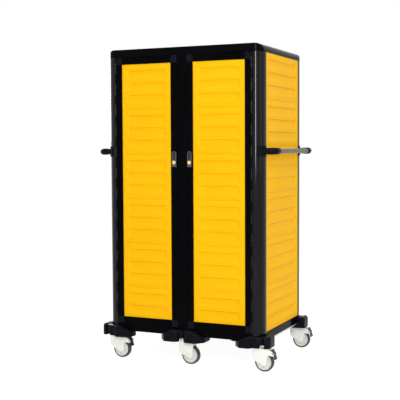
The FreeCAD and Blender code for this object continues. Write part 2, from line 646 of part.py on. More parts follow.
def lock_bolt():
    """Bolt that slides out of the stile into the middle post."""
    half = BOLT_HEIGHT / 2.0
    return block(BOLT_TIP, BOLT_TIP + BOLT_LENGTH, BOLT_FRONT, BOLT_FRONT + BOLT_THICK,
                 LOCK_Z - half, LOCK_Z + half)


# ---- tray racks ---------------------------------------------------------------------------

def rack_faces():
    """X of the two walls that carry the right column's racks, with the way the rack faces."""
    return ((PARTITION_FACE, 1.0), (PANEL_BACK_X, -1.0))


def rack_uprights():
    """Rectangular tubes on the walls of both columns."""
    tubes = []
    reach = UPRIGHT_SPREAD / 2.0
    half = UPRIGHT_DEPTH / 2.0
    wall = UPRIGHT_WALL
    for wall_x, way in rack_faces():
        x0 = min(wall_x, wall_x + way * UPRIGHT_WIDTH)
        outer = block(x0, x0 + UPRIGHT_WIDTH, reach - half, reach + half, FLOOR_TOP, BODY_TOP - SEAT_GAP)
        hollow = block(x0 + wall, x0 + UPRIGHT_WIDTH - wall, reach - half + wall, reach + half - wall,
                       FLOOR_TOP, BODY_TOP)
        tubes += four_corners(outer.cut(hollow))
    return tubes


def tray_runners():
    """Flat bars that carry the trays, on both sides of both columns."""
    bars = []
    for wall_x, way in rack_faces():
        face = wall_x + way * UPRIGHT_WIDTH
        x0 = min(face, face + way * RUNNER_WIDTH)
        for level in range(RUNNER_LEVELS):
            z0 = FIRST_RUNNER + level * RUNNER_PITCH
            bar = block(x0, x0 + RUNNER_WIDTH, -RUNNER_REACH, RUNNER_REACH, z0, z0 + RUNNER_THICK)
            bars += both_ends(bar)
    return bars


# ---- push bars ----------------------------------------------------------------------------

def push_bar():
    """Straight tube along the right side, held in the sockets of two brackets."""
    start = vec(HANDLE_X, -BAR_END_Y, HANDLE_HEIGHT)
    end = vec(HANDLE_X, BAR_END_Y, HANDLE_HEIGHT)
    return rod(HANDLE_BAR_RADIUS, start, end).cut(rod(HANDLE_BAR_RADIUS - HANDLE_BAR_WALL, start, end))


def clamp_shell():
    """Band round the rear right post's rounding, with a short flat tail along the side."""
    centre = vec(SIDE - POST_RADIUS, BACK - POST_RADIUS, HANDLE_HEIGHT - CLAMP_HEIGHT / 2.0)
    inner = POST_RADIUS + SEAT_GAP
    outer = inner + CLAMP_THICK
    ring = Part.makeCylinder(outer, CLAMP_HEIGHT, centre, UP, CLAMP_SWEEP)
    ring = ring.cut(Part.makeCylinder(inner, CLAMP_HEIGHT, centre, UP))
    tail = block(SIDE + SEAT_GAP, SIDE + SEAT_GAP + CLAMP_THICK, centre.y - CLAMP_TAIL, centre.y,
                 centre.z, centre.z + CLAMP_HEIGHT)
    return ring.fuse(tail).removeSplitter()


def handle_bracket():
    """Moulded bracket at the rear right: clamp, arm, bend and socket in one piece."""
    z = HANDLE_HEIGHT
    bend_x = HANDLE_X - HANDLE_BEND_RADIUS
    root_x = SIDE - POST_RADIUS / 4.0
    arm = rod(HANDLE_ARM_RADIUS, vec(root_x, HANDLE_ARM_Y, z), vec(bend_x, HANDLE_ARM_Y, z))
    bend_centre = vec(bend_x, HANDLE_ARM_Y - HANDLE_BEND_RADIUS, z)
    bend = Part.makeTorus(HANDLE_BEND_RADIUS, HANDLE_ARM_RADIUS, bend_centre, UP, -180, 180, 90)
    socket = rod(HANDLE_ARM_RADIUS, vec(HANDLE_X, BAR_END_Y, z),
                 vec(HANDLE_X, BAR_END_Y - HANDLE_SOCKET, z))
    post = post_outline(SEAT_GAP, BASE_UNDERSIDE, BODY_TOP)
    bore = rod(HANDLE_BAR_RADIUS + AXLE_FIT, vec(HANDLE_X, BAR_END_Y, z),
               vec(HANDLE_X, BAR_END_Y - HANDLE_SOCKET, z))
    return clamp_shell().fuse([arm, bend, socket]).cut([post, bore])


def bracket_screws():
    """Two screw heads on the rear right bracket's tail, above and below the arm."""
    heads = []
    face = SIDE + SEAT_GAP + CLAMP_THICK
    y = BACK - POST_RADIUS + SCREW_HEAD_RADIUS
    for way in (-1.0, 1.0):
        z = HANDLE_HEIGHT + way * (CLAMP_HEIGHT / 2.0 - SCREW_HEAD_RADIUS * 1.5)
        heads.append(rod(SCREW_HEAD_RADIUS, vec(face, y, z), vec(face + SCREW_HEAD_HEIGHT, y, z)))
    return heads


# ---- bumpers ------------------------------------------------------------------------------

def bevelled_prism(outline, z0, z1, bevel):
    """Outline pushed up, with its upper outer edge bevelled by shrinking a copy upwards."""
    lower = Part.Face(outline).extrude(vec(0, 0, z1 - bevel - z0))
    middle = outline.copy()
    middle.translate(vec(0, 0, z1 - bevel - z0))
    shrunk = outline.makeOffset2D(-bevel)
    shrunk.translate(vec(0, 0, z1 - z0))
    upper = Part.makeLoft([middle, shrunk], True, True)
    return lower.fuse(upper).removeSplitter()


def body_cut(z0, z1):
    """The body's own plan, with its rounded corners and a seating gap, as a cutter."""
    reach_x = SIDE + SEAT_GAP
    reach_y = BACK + SEAT_GAP
    slab = block(-reach_x, reach_x, -reach_y, reach_y, z0, z1)
    upright = [edge for edge in slab.Edges if abs(edge.tangentAt(edge.FirstParameter).z) > 0.9]
    return slab.makeFillet(POST_RADIUS + SEAT_GAP, upright)


def mount_pocket(x, y):
    """Round pocket for a caster's mounting plate."""
    radius = MOUNT_PLATE_RADIUS + SEAT_GAP
    return rod(radius, vec(x, y, BUMPER_BOTTOM), vec(x, y, POCKET_TOP))


def wing_slope(x_high, x_low):
    """Cutter over a rear wing, whose top drops from x_high to its end at x_low."""
    y = BACK + SEAT_GAP
    top = BUMPER_TOP + 1.0
    outline = [vec(x_high, y, BUMPER_TOP), vec(x_low, y, BUMPER_TOP - WING_LOW),
               vec(x_low, y, top), vec(x_high, y, top)]
    return prism(outline, vec(0, BUMPER_REACH + 1.0, 0))


def corner_point(inward, outward, z=BUMPER_BOTTOM):
    """Point given from the rear right corner: inwards along the rear, outwards from the rear plane."""
    return vec(SIDE - inward, BACK + outward, z)


def corner_lobes():
    """The two raised lobes of a corner bumper: a long one at the rear, a short one at the side."""
    rear = [
        corner_point(BUMPER_WING, -BASE_RAIL_DEPTH),
        corner_point(BUMPER_WING, 0),
        corner_point(BUMPER_WING - BUMPER_WING_TAPER, BUMPER_REACH),
        corner_point(LOBE_END, BUMPER_REACH),
        corner_point(LOBE_NOSE, LOBE_NOSE_REACH),
        corner_point(LOBE_HEEL, 0),
        corner_point(LOBE_HEEL, -BASE_RAIL_DEPTH),
    ]
    side = [
        corner_point(CREASE_INSET, -BUMPER_SIDE_WING),
        corner_point(CREASE_INSET, -SIDE_LOBE_ROOT),
        corner_point(-SIDE_LOBE_NOSE, SIDE_LOBE_REACH),
        corner_point(-SIDE_LOBE_SHOULDER, SIDE_LOBE_REACH / 2.0),
        corner_point(-BUMPER_REACH, -SIDE_LOBE_END),
        corner_point(-BUMPER_REACH, BUMPER_SIDE_TAPER - BUMPER_SIDE_WING),
        corner_point(BUMPER_SIDE_TAPER - BUMPER_REACH, -BUMPER_SIDE_WING),
    ]
    return [bevelled_prism(Part.makePolygon(points + [points[0]]), BUMPER_BOTTOM, BUMPER_TOP, BUMPER_EDGE)
            for points in (rear, side)]


def corner_web():
    """Low body of a corner bumper under the base, with the web between its lobes."""
    outline = [
        corner_point(BUMPER_WING, -BASE_RAIL_DEPTH),
        corner_point(BUMPER_WING, 0),
        corner_point(LOBE_HEEL, WEB_REACH),
        corner_point(WEB_END, WEB_REACH),
        corner_point(CREASE_INSET, 0),
        corner_point(0, -SIDE_LOBE_ROOT),
        corner_point(0, -BUMPER_SIDE_WING),
        corner_point(BASE_RAIL_DEPTH, -BUMPER_SIDE_WING),
    ]
    return prism(outline, vec(0, 0, WEB_HEIGHT))


def corner_bumper():
    """Moulded corner block at the rear right: under the base and up round the post's foot."""
    cutters = [
        body_cut(BASE_UNDERSIDE, BUMPER_TOP + 1.0),
        mount_pocket(SWIVEL_X, SWIVEL_Y),
        wing_slope(SIDE - WING_HIGH, SIDE - BUMPER_WING),
    ]
    return corner_web().fuse(corner_lobes()).cut(cutters)


def middle_bumper():
    """Moulded block at the middle of the back, over the middle caster."""
    half = MIDDLE_BUMPER_HALF
    right_half = [
        vec(MIDDLE_LOBE_NOSE, BACK + LOBE_NOSE_REACH, BUMPER_BOTTOM),
        vec(MIDDLE_LOBE_END, BACK + BUMPER_REACH, BUMPER_BOTTOM),
        vec(half - BUMPER_WING_TAPER, BACK + BUMPER_REACH, BUMPER_BOTTOM),
        vec(half, BACK, BUMPER_BOTTOM),
        vec(half, BACK - MIDDLE_BUMPER_DEPTH, BUMPER_BOTTOM),
    ]
    left_half = [vec(-point.x, point.y, point.z) for point in reversed(right_half)]
    points = [vec(0, BACK, BUMPER_BOTTOM)] + right_half + left_half
    outline = Part.makePolygon(points + [points[0]])
    body = bevelled_prism(outline, BUMPER_BOTTOM, BUMPER_TOP, BUMPER_EDGE)
    slope = wing_slope(WING_HIGH, half)
    cutters = [
        body_cut(BASE_UNDERSIDE, BUMPER_TOP + 1.0),
        mount_pocket(0.0, SWIVEL_Y),
        slope,
        mirror_x(slope),
    ]
    return body.cut(cutters)


def sill_strip():
    """Pale strip under the right base rail, between the two bumpers."""
    reach = BACK - BUMPER_SIDE_WING - SEAT_GAP
    return block(SIDE - SILL_WIDTH, SIDE, -reach, reach, BASE_UNDERSIDE - SILL_THICK, BASE_UNDERSIDE)


# ---- casters ------------------------------------------------------------------------------

def caster_mount():
    """Mounting plate with its kingpin, for a swivel axis at the origin."""
    plate = rod(MOUNT_PLATE_RADIUS, vec(0, 0, PLATE_UNDERSIDE), vec(0, 0, POCKET_TOP))
    pin = rod(KINGPIN_RADIUS, vec(0, 0, FORK_TOP - KINGPIN_DROP), vec(0, 0, PLATE_UNDERSIDE))
    return plate.fuse(pin)


def fork_outline(z_top):
    """Side view of the hood: bulging back, slanting skirt, rounded leg end and beak."""
    axle_z = WHEEL_RADIUS
    slant = math.radians(70.0)
    middle = math.radians(45.0)
    skirt = vec(-HOOD_SKIRT, 0, axle_z + HOOD_SKIRT_RISE)
    low_left = vec(TRAIL - LEG_END_RADIUS * math.cos(slant), 0, axle_z - LEG_END_RADIUS * math.sin(slant))
    low_middle = vec(TRAIL + LEG_END_RADIUS * math.cos(middle), 0,
                     axle_z - LEG_END_RADIUS * math.sin(middle))
    points = [
        vec(-HOOD_TOP_BACK, 0, z_top),
        vec(TRAIL + BEAK_TOP, 0, z_top),
        vec(PEDAL_PIVOT_X - 2.0, 0, PEDAL_PIVOT_Z + 10.0),
        vec(PEDAL_PIVOT_X + 7.0, 0, PEDAL_PIVOT_Z - 3.0),
        vec(PEDAL_PIVOT_X + 4.0, 0, axle_z + BEAK_UNDER - 1.0),
        vec(TRAIL + BEAK_TOP + 4.0, 0, axle_z + BEAK_UNDER),
        vec(TRAIL + LEG_END_RADIUS, 0, axle_z),
    ]
    edges = [Part.LineSegment(first, second).toShape() for first, second in zip(points, points[1:])]
    edges.append(Part.Arc(points[-1], low_middle, low_left).toShape())
    edges.append(Part.LineSegment(low_left, skirt).toShape())
    edges.append(Part.Arc(skirt, vec(-HOOD_BACK, 0, z_top - HOOD_BACK_DROP), points[0]).toShape())
    return Part.Face(Part.Wire(edges))


def caster_fork(braked):
    """Hooded fork with its swivel head; the braked one keeps its beak for the pedal."""
    face = fork_outline(FORK_TOP)
    face.translate(vec(0, -LEG_OUTER, 0))
    hood = face.extrude(vec(0, 2.0 * LEG_OUTER, 0))
    if not braked:
        beak_start = TRAIL + BEAK_TOP
        hood = hood.cut(block(beak_start, PEDAL_FOOT_X, -LEG_OUTER, LEG_OUTER, 0.0, FORK_TOP))
    wheel_space = rod(HOOD_CLEAR, vec(TRAIL, -LEG_INNER, WHEEL_RADIUS), vec(TRAIL, LEG_INNER, WHEEL_RADIUS))
    below = block(TRAIL - HOOD_CLEAR, TRAIL + HOOD_CLEAR, -LEG_INNER, LEG_INNER, 0.0, WHEEL_RADIUS)
    pedal_space = block(PEDAL_PIVOT_X - PEDAL_ROOM, PEDAL_FOOT_X, -LEG_INNER, LEG_INNER, 0.0, FORK_TOP)
    head = Part.makeCone(HEAD_RADIUS, HEAD_TOP_RADIUS, PLATE_UNDERSIDE - FREE_GAP - FORK_TOP,
                         vec(0, 0, FORK_TOP), UP)
    pin_bore = rod(KINGPIN_RADIUS + KINGPIN_FIT, vec(0, 0, FORK_TOP - KINGPIN_DROP - FREE_GAP),
                   vec(0, 0, PLATE_UNDERSIDE))
    axle_bore = rod(AXLE_RADIUS + AXLE_FIT, vec(TRAIL, -LEG_OUTER, WHEEL_RADIUS),
                    vec(TRAIL, LEG_OUTER, WHEEL_RADIUS))
    pedal_bore = rod(PEDAL_PIN_RADIUS + PEDAL_PIN_FIT, vec(PEDAL_PIVOT_X, -LEG_OUTER, PEDAL_PIVOT_Z),
                     vec(PEDAL_PIVOT_X, LEG_OUTER, PEDAL_PIVOT_Z))
    return hood.fuse(head).cut([wheel_space, below, pedal_space, pin_bore, axle_bore, pedal_bore])


def wheel_axle():
    """Axle bolt with a head on each side of the fork."""
    pin = rod(AXLE_RADIUS, vec(TRAIL, -LEG_OUTER, WHEEL_RADIUS), vec(TRAIL, LEG_OUTER, WHEEL_RADIUS))
    near = rod(AXLE_HEAD_RADIUS, vec(TRAIL, -LEG_OUTER - AXLE_HEAD, WHEEL_RADIUS),
               vec(TRAIL, -LEG_OUTER, WHEEL_RADIUS))
    far = rod(AXLE_HEAD_RADIUS, vec(TRAIL, LEG_OUTER, WHEEL_RADIUS),
              vec(TRAIL, LEG_OUTER + AXLE_HEAD, WHEEL_RADIUS))
    return pin.fuse([near, far])


def turned(profile):
    """Solid of revolution about the wheel axle from (radius, y) points."""
    points = [vec(TRAIL, y, WHEEL_RADIUS + radius) for radius, y in profile]
    wire = Part.makePolygon(points + [points[0]])
    return Part.Face(wire).revolve(vec(TRAIL, 0, WHEEL_RADIUS), BACKWARD, 360)


def wheel_hub():
    """Moulded wheel centre: boss, web and rim."""
    bore = AXLE_RADIUS + AXLE_FIT
    boss = LEG_INNER - FREE_GAP
    rim = TREAD_WIDTH / 2.0 - 1.0
    web = HUB_WEB / 2.0
    rim_inner = HUB_RADIUS - HUB_RIM
    profile = [
        (bore, -boss), (HUB_BOSS_RADIUS, -boss), (HUB_BOSS_RADIUS, -web), (rim_inner, -web),
        (rim_inner, -rim), (HUB_RADIUS, -rim), (HUB_RADIUS, rim), (rim_inner, rim),
        (rim_inner, web), (HUB_BOSS_RADIUS, web), (HUB_BOSS_RADIUS, boss), (bore, boss),
    ]
    return turned(profile)


def wheel_tyre():
    """Tyre on the hub's rim, with rounded tread edges."""
    half = TREAD_WIDTH / 2.0
    ring = turned([(HUB_RADIUS, -half), (WHEEL_RADIUS, -half), (WHEEL_RADIUS, half), (HUB_RADIUS, half)])
    tread_edges = [edge for edge in ring.Edges
                   if isinstance(edge.Curve, Part.Circle) and edge.Curve.Radius > HUB_RADIUS + 1.0]
    return ring.makeFillet(TREAD_ROUND, tread_edges)


def brake_pedal():
    """Rocking foot pedal on a pin through the beak of the fork."""
    slant = vec(PEDAL_FOOT_X - PEDAL_TOP_X, 0, PEDAL_FOOT_Z - PEDAL_TOP_Z)
    slant.normalize()
    across = vec(-slant.z, 0, slant.x) * PEDAL_THICK
    half = PEDAL_WIDTH / 2.0
    top = vec(PEDAL_TOP_X - PEDAL_THICK, -half, PEDAL_TOP_Z)
    foot = vec(PEDAL_FOOT_X - PEDAL_THICK, -half, PEDAL_FOOT_Z)
    plate = prism([top, top.add(across), foot.add(across), foot], vec(0, PEDAL_WIDTH, 0))
    boss_radius = PEDAL_PIN_RADIUS + 3.0
    boss_half = LEG_INNER - FREE_GAP
    boss = rod(boss_radius, vec(PEDAL_PIVOT_X, -boss_half, PEDAL_PIVOT_Z),
               vec(PEDAL_PIVOT_X, boss_half, PEDAL_PIVOT_Z))
    pin = rod(PEDAL_PIN_RADIUS, vec(PEDAL_PIVOT_X, -LEG_OUTER, PEDAL_PIVOT_Z),
              vec(PEDAL_PIVOT_X, LEG_OUTER, PEDAL_PIVOT_Z))
    return plate.fuse([boss, pin])


def caster_places():
    """Name, place and brake of the six casters."""
    places = []
    for depth_name, y in (("front", -SWIVEL_Y), ("rear", SWIVEL_Y)):
        for side_name, x in (("left", -SWIVEL_X), ("centre", 0.0), ("right", SWIVEL_X)):
            places.append((depth_name + "_" + side_name, x, y, side_name != "centre"))
    return places


def moved(shape, x, y):
    copy = shape.copy()
    copy.translate(vec(x, y, 0))
    return copy


# ---- writing the nodes --------------------------------------------------------------------

def write_shell():
    save("front_posts", *both_ends(front_corner_post()))
    save("rear_posts", *both_ends(corner_post()))
    save("front_centre_post", front_middle_post())
    save("rear_centre_post", middle_post())
    save("top_cover", top_cover())
    save("base_rails", *base_rails())
    save("floor_panel", floor_panel())
    panel = side_panel()
    save("side_panel_right", panel)
    save("side_panel_left", mirror_x(panel))
    save("rear_panels", *both_ends(rear_panel()))
    save("partition", partition())
    save("rack_uprights", *rack_uprights())
    save("tray_runners", *tray_runners())


def write_doors():
    pieces = {
        "frame": door_frame(),
        "corners": door_corners(),
        "panel": [door_panel()],
        "hinge_leaf": [hinge_leaf(-1.0, 0)],
        "latch_plate": [latch_plate(), lever_pin(0.0)],
        "lever": [latch_lever()],
        "lock": [lock_barrel()],
        "bolt": [lock_bolt()],
    }
    for name, solids in pieces.items():
        save("right_door_" + name, *solids)
        save("left_door_" + name, *[mirror_x(solid) for solid in solids])
    save("post_hinge_leaves", *both_ends(hinge_leaf(1.0, 1)))
    save("hinge_pins", *both_ends(hinge_pin()))


def write_fittings():
    save("handle_bars", *both_ends(push_bar()))
    save("handle_brackets", *four_corners(handle_bracket()))
    screws = []
    for head in bracket_screws():
        screws += four_corners(head)
    save("bracket_screws", *screws)
    save("corner_bumpers", *four_corners(corner_bumper()))
    bumper = middle_bumper()
    save("centre_bumpers", bumper, mirror_y(bumper))
    save("sill_strips", *both_ends(sill_strip()))


def write_casters():
    mount = caster_mount()
    forks = {True: caster_fork(True), False: caster_fork(False)}
    axle = wheel_axle()
    hub = wheel_hub()
    tyre = wheel_tyre()
    pedal = brake_pedal()
    mounts = []
    for name, x, y, braked in caster_places():
        mounts.append(moved(mount, x, y))
        save(name + "_fork", moved(forks[braked], x, y), moved(axle, x, y))
        save(name + "_hub", moved(hub, x, y))
        save(name + "_tyre", moved(tyre, x, y))
        if braked:
            save(name + "_pedal", moved(pedal, x, y))
    save("caster_mounts", *mounts)


os.makedirs("parts", exist_ok=True)
write_shell()
write_doors()
write_fittings()
write_casters()
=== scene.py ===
import json
import math

import bmesh
import bpy
import numpy as np
from mathutils import Matrix, Vector

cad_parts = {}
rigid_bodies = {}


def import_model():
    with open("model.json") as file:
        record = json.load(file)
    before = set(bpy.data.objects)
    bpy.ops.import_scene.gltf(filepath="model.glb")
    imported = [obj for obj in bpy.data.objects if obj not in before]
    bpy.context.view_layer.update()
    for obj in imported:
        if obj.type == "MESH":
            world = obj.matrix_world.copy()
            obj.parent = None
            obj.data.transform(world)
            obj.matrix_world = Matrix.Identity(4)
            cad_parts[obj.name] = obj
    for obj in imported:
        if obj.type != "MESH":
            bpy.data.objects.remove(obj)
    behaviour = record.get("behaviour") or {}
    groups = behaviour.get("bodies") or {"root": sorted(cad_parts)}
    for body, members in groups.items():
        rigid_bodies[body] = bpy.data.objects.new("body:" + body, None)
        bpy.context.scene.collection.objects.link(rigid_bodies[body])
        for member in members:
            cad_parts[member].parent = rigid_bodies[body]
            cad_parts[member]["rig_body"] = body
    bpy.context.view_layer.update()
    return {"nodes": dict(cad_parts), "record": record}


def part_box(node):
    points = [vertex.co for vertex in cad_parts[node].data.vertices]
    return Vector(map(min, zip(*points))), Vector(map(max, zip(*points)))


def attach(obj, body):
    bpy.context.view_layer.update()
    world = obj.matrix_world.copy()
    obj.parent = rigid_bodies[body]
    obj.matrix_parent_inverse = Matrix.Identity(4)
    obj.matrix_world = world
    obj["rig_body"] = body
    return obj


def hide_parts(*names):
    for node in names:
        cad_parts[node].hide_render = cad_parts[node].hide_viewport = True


# Looks of the meal tray cart: ribbed yellow panels in glossy black frames, moulded bumpers and
# casters, tubular push bars.  Metres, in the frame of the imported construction.

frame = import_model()
nodes = frame["nodes"]

# ---- finishes: shared effects -------------------------------------------------------------


def new_effect(name, inputs, outputs):
    """Empty shader node group with float or colour sockets."""
    group = bpy.data.node_groups.new(name, "ShaderNodeTree")
    for socket, kind, value in inputs:
        made = group.interface.new_socket(socket, in_out="INPUT", socket_type=kind)
        made.default_value = value
    for socket, kind in outputs:
        group.interface.new_socket(socket, in_out="OUTPUT", socket_type=kind)
    start = group.nodes.new("NodeGroupInput")
    end = group.nodes.new("NodeGroupOutput")
    return group, start, end


def join(tree, source, target):
    tree.links.new(source, target)


def math_node(tree, operation, first, second):
    node = tree.nodes.new("ShaderNodeMath")
    node.operation = operation
    for index, value in enumerate((first, second)):
        if isinstance(value, (int, float)):
            node.inputs[index].default_value = value
        else:
            join(tree, value, node.inputs[index])
    return node.outputs[0]


def span_node(tree, value, low_in, high_in, low_out, high_out):
    node = tree.nodes.new("ShaderNodeMapRange")
    join(tree, value, node.inputs["Value"])
    for socket, number in (("From Min", low_in), ("From Max", high_in),
                           ("To Min", low_out), ("To Max", high_out)):
        if isinstance(number, (int, float)):
            node.inputs[socket].default_value = number
        else:
            join(tree, number, node.inputs[socket])
    return node.outputs["Result"]


def noise_node(tree, scale, detail, stretch=None):
    """Noise over the piece's own coordinates, with an optional stretch along an axis."""
    place = tree.nodes.new("ShaderNodeTexCoord").outputs["Object"]
    if stretch is not None:
        squeeze = tree.nodes.new("ShaderNodeVectorMath")
        squeeze.operation = "MULTIPLY"
        squeeze.inputs[1].default_value = stretch
        join(tree, place, squeeze.inputs[0])
        place = squeeze.outputs[0]
    node = tree.nodes.new("ShaderNodeTexNoise")
    node.inputs["Detail"].default_value = detail
    join(tree, place, node.inputs["Vector"])
    if isinstance(scale, (int, float)):
        node.inputs["Scale"].default_value = scale
    else:
        join(tree, scale, node.inputs["Scale"])
    return node.outputs["Fac"]


def make_mottle():
    """Slow drift between two tones of the same colour."""
    group, start, end = new_effect(
        "slow_mottle",
        [("Tone", "NodeSocketColor", (1, 1, 1, 1)),
         ("Deeper Tone", "NodeSocketColor", (1, 1, 1, 1)),
         ("Patch Size", "NodeSocketFloat", 6.0)],
        [("Colour", "NodeSocketColor")])
    broad = noise_node(group, start.outputs["Patch Size"], 3.0)
    fine = noise_node(group, 140.0, 4.0)
    blend = math_node(group, "ADD", math_node(group, "MULTIPLY", broad, 0.75),
                      math_node(group, "MULTIPLY", fine, 0.25))
    amount = span_node(group, blend, 0.36, 0.64, 0.0, 1.0)
    mix = group.nodes.new("ShaderNodeMix")
    mix.data_type = "RGBA"
    join(group, amount, mix.inputs[0])
    join(group, start.outputs["Tone"], mix.inputs[6])
    join(group, start.outputs["Deeper Tone"], mix.inputs[7])
    join(group, mix.outputs[2], end.inputs["Colour"])
    return group


def make_edge_rub():
    """Mask along edges, broken up by noise, where handling rubs the finish."""
    group, start, end = new_effect(
        "edge_rub", [("Width", "NodeSocketFloat", 0.002)], [("Mask", "NodeSocketFloat")])
    rounded = group.nodes.new("ShaderNodeBevel")
    rounded.samples = 4
    join(group, start.outputs["Width"], rounded.inputs["Radius"])
    flat = group.nodes.new("ShaderNodeNewGeometry")
    meet = group.nodes.new("ShaderNodeVectorMath")
    meet.operation = "DOT_PRODUCT"
    join(group, rounded.outputs["Normal"], meet.inputs[0])
    join(group, flat.outputs["Normal"], meet.inputs[1])
    edge = span_node(group, meet.outputs["Value"], 0.97, 0.80, 0.0, 1.0)
    breakup = span_node(group, noise_node(group, 90.0, 5.0), 0.46, 0.62, 0.0, 1.0)
    join(group, math_node(group, "MULTIPLY", edge, breakup), end.inputs["Mask"])
    return group


def make_scuffs():
    """Fine crossing wipe marks, as a value round 0.5 that shifts the roughness."""
    group, start, end = new_effect(
        "wipe_marks", [("Scale", "NodeSocketFloat", 30.0)], [("Value", "NodeSocketFloat")])
    level = noise_node(group, start.outputs["Scale"], 4.0, (1.0, 1.0, 0.12))
    upright = noise_node(group, start.outputs["Scale"], 4.0, (0.15, 0.15, 1.0))
    both = math_node(group, "MULTIPLY", math_node(group, "ADD", level, upright), 0.5)
    join(group, both, end.inputs["Value"])
    return group


def make_dust():
    """Mask for the film that settles on faces that look up."""
    group, start, end = new_effect(
        "settled_dust", [("Scale", "NodeSocketFloat", 20.0)], [("Mask", "NodeSocketFloat")])
    normal = group.nodes.new("ShaderNodeNewGeometry")
    parts = group.nodes.new("ShaderNodeSeparateXYZ")
    join(group, normal.outputs["Normal"], parts.inputs[0])
    upward = span_node(group, parts.outputs["Z"], 0.35, 0.95, 0.0, 1.0)
    patches = span_node(group, noise_node(group, start.outputs["Scale"], 6.0), 0.35, 0.7, 0.15, 1.0)
    join(group, math_node(group, "MULTIPLY", upward, patches), end.inputs["Mask"])
    return group


def make_mould_grain():
    """Height of the fine spark-eroded grain on moulded plastic."""
    group, start, end = new_effect(
        "mould_grain", [("Scale", "NodeSocketFloat", 1400.0)], [("Height", "NodeSocketFloat")])
    place = group.nodes.new("ShaderNodeTexCoord").outputs["Object"]
    pits = group.nodes.new("ShaderNodeTexVoronoi")
    pits.feature = "SMOOTH_F1"
    join(group, place, pits.inputs["Vector"])
    join(group, start.outputs["Scale"], pits.inputs["Scale"])
    ripple = noise_node(group, 260.0, 3.0)
    height = math_node(group, "ADD", math_node(group, "MULTIPLY", pits.outputs["Distance"], 0.6),
                       math_node(group, "MULTIPLY", ripple, 0.5))
    join(group, height, end.inputs["Height"])
    return group


def make_coat_ripple():
    """Height of the slight orange peel in a sprayed or powder coat."""
    group, start, end = new_effect(
        "coat_ripple", [("Scale", "NodeSocketFloat", 320.0)], [("Height", "NodeSocketFloat")])
    ripple = noise_node(group, start.outputs["Scale"], 2.0)
    swell = noise_node(group, 26.0, 2.0)
    height = math_node(group, "ADD", math_node(group, "MULTIPLY", ripple, 0.4), swell)
    join(group, height, end.inputs["Height"])
    return group


def make_brush_lines():
    """Height of fine drawn lines along a bar or sheet."""
    group, start, end = new_effect(
        "brush_lines", [("Scale", "NodeSocketFloat", 900.0)], [("Height", "NodeSocketFloat")])
    lines = noise_node(group, start.outputs["Scale"], 3.0, (1.0, 0.03, 1.0))
    join(group, lines, end.inputs["Height"])
    return group


MOTTLE = make_mottle()
EDGE_RUB = make_edge_rub()
WIPE_MARKS = make_scuffs()
DUST = make_dust()
SURFACES = {"grain": make_mould_grain(), "coat": make_coat_ripple(), "brushed": make_brush_lines()}


def place_effect(tree, group, **values):
    node = tree.nodes.new("ShaderNodeGroup")
    node.node_tree = group
    for socket, value in values.items():
        node.inputs[socket.replace("_", " ")].default_value = value
    return node


def mix_colour(tree, mask, strength, under, over):
    """Colour `over` laid on `under` where the mask is, at the given strength."""
    mix = tree.nodes.new("ShaderNodeMix")
    mix.data_type = "RGBA"
    join(tree, math_node(tree, "MULTIPLY", mask, strength), mix.inputs[0])
    join(tree, under, mix.inputs[6])
    mix.inputs[7].default_value = (*over, 1.0)
    return mix.outputs[2]


DUST_SCALE = 22.0
WIPE_SCALE = 34.0
RELIEF_STRENGTH = 0.5


def finish(name, tone, deeper, roughness, spread, surface, size, relief, patch=6.0, metallic=0.0,
           rub=None, rub_strength=0.0, rub_width=0.002, dust=0.0, dust_tone=(0.35, 0.34, 0.32),
           specular=0.5):
    """Material with mottled colour, rubbed edges, dust, wipe marks and a fine surface relief."""
    material = bpy.data.materials.new(name)
    material.use_nodes = True
    tree = material.node_tree
    shader = tree.nodes["Principled BSDF"]
    colour = place_effect(tree, MOTTLE, Tone=(*tone, 1.0), Deeper_Tone=(*deeper, 1.0),
                          Patch_Size=patch).outputs["Colour"]
    if rub is not None:
        mask = place_effect(tree, EDGE_RUB, Width=rub_width).outputs["Mask"]
        colour = mix_colour(tree, mask, rub_strength, colour, rub)
    if dust > 0.0:
        film = place_effect(tree, DUST, Scale=DUST_SCALE).outputs["Mask"]
        colour = mix_colour(tree, film, dust, colour, dust_tone)
    join(tree, colour, shader.inputs["Base Color"])
    marks = place_effect(tree, WIPE_MARKS, Scale=WIPE_SCALE).outputs["Value"]
    rough = span_node(tree, marks, 0.38, 0.62, roughness - spread, roughness + spread)
    join(tree, rough, shader.inputs["Roughness"])
    height = place_effect(tree, SURFACES[surface], Scale=size).outputs["Height"]
    bump = tree.nodes.new("ShaderNodeBump")
    bump.inputs["Strength"].default_value = RELIEF_STRENGTH
    bump.inputs["Distance"].default_value = relief
    join(tree, height, bump.inputs["Height"])
    join(tree, bump.outputs["Normal"], shader.inputs["Normal"])
    shader.inputs["Metallic"].default_value = metallic
    shader.inputs["Specular IOR Level"].default_value = specular
    return material


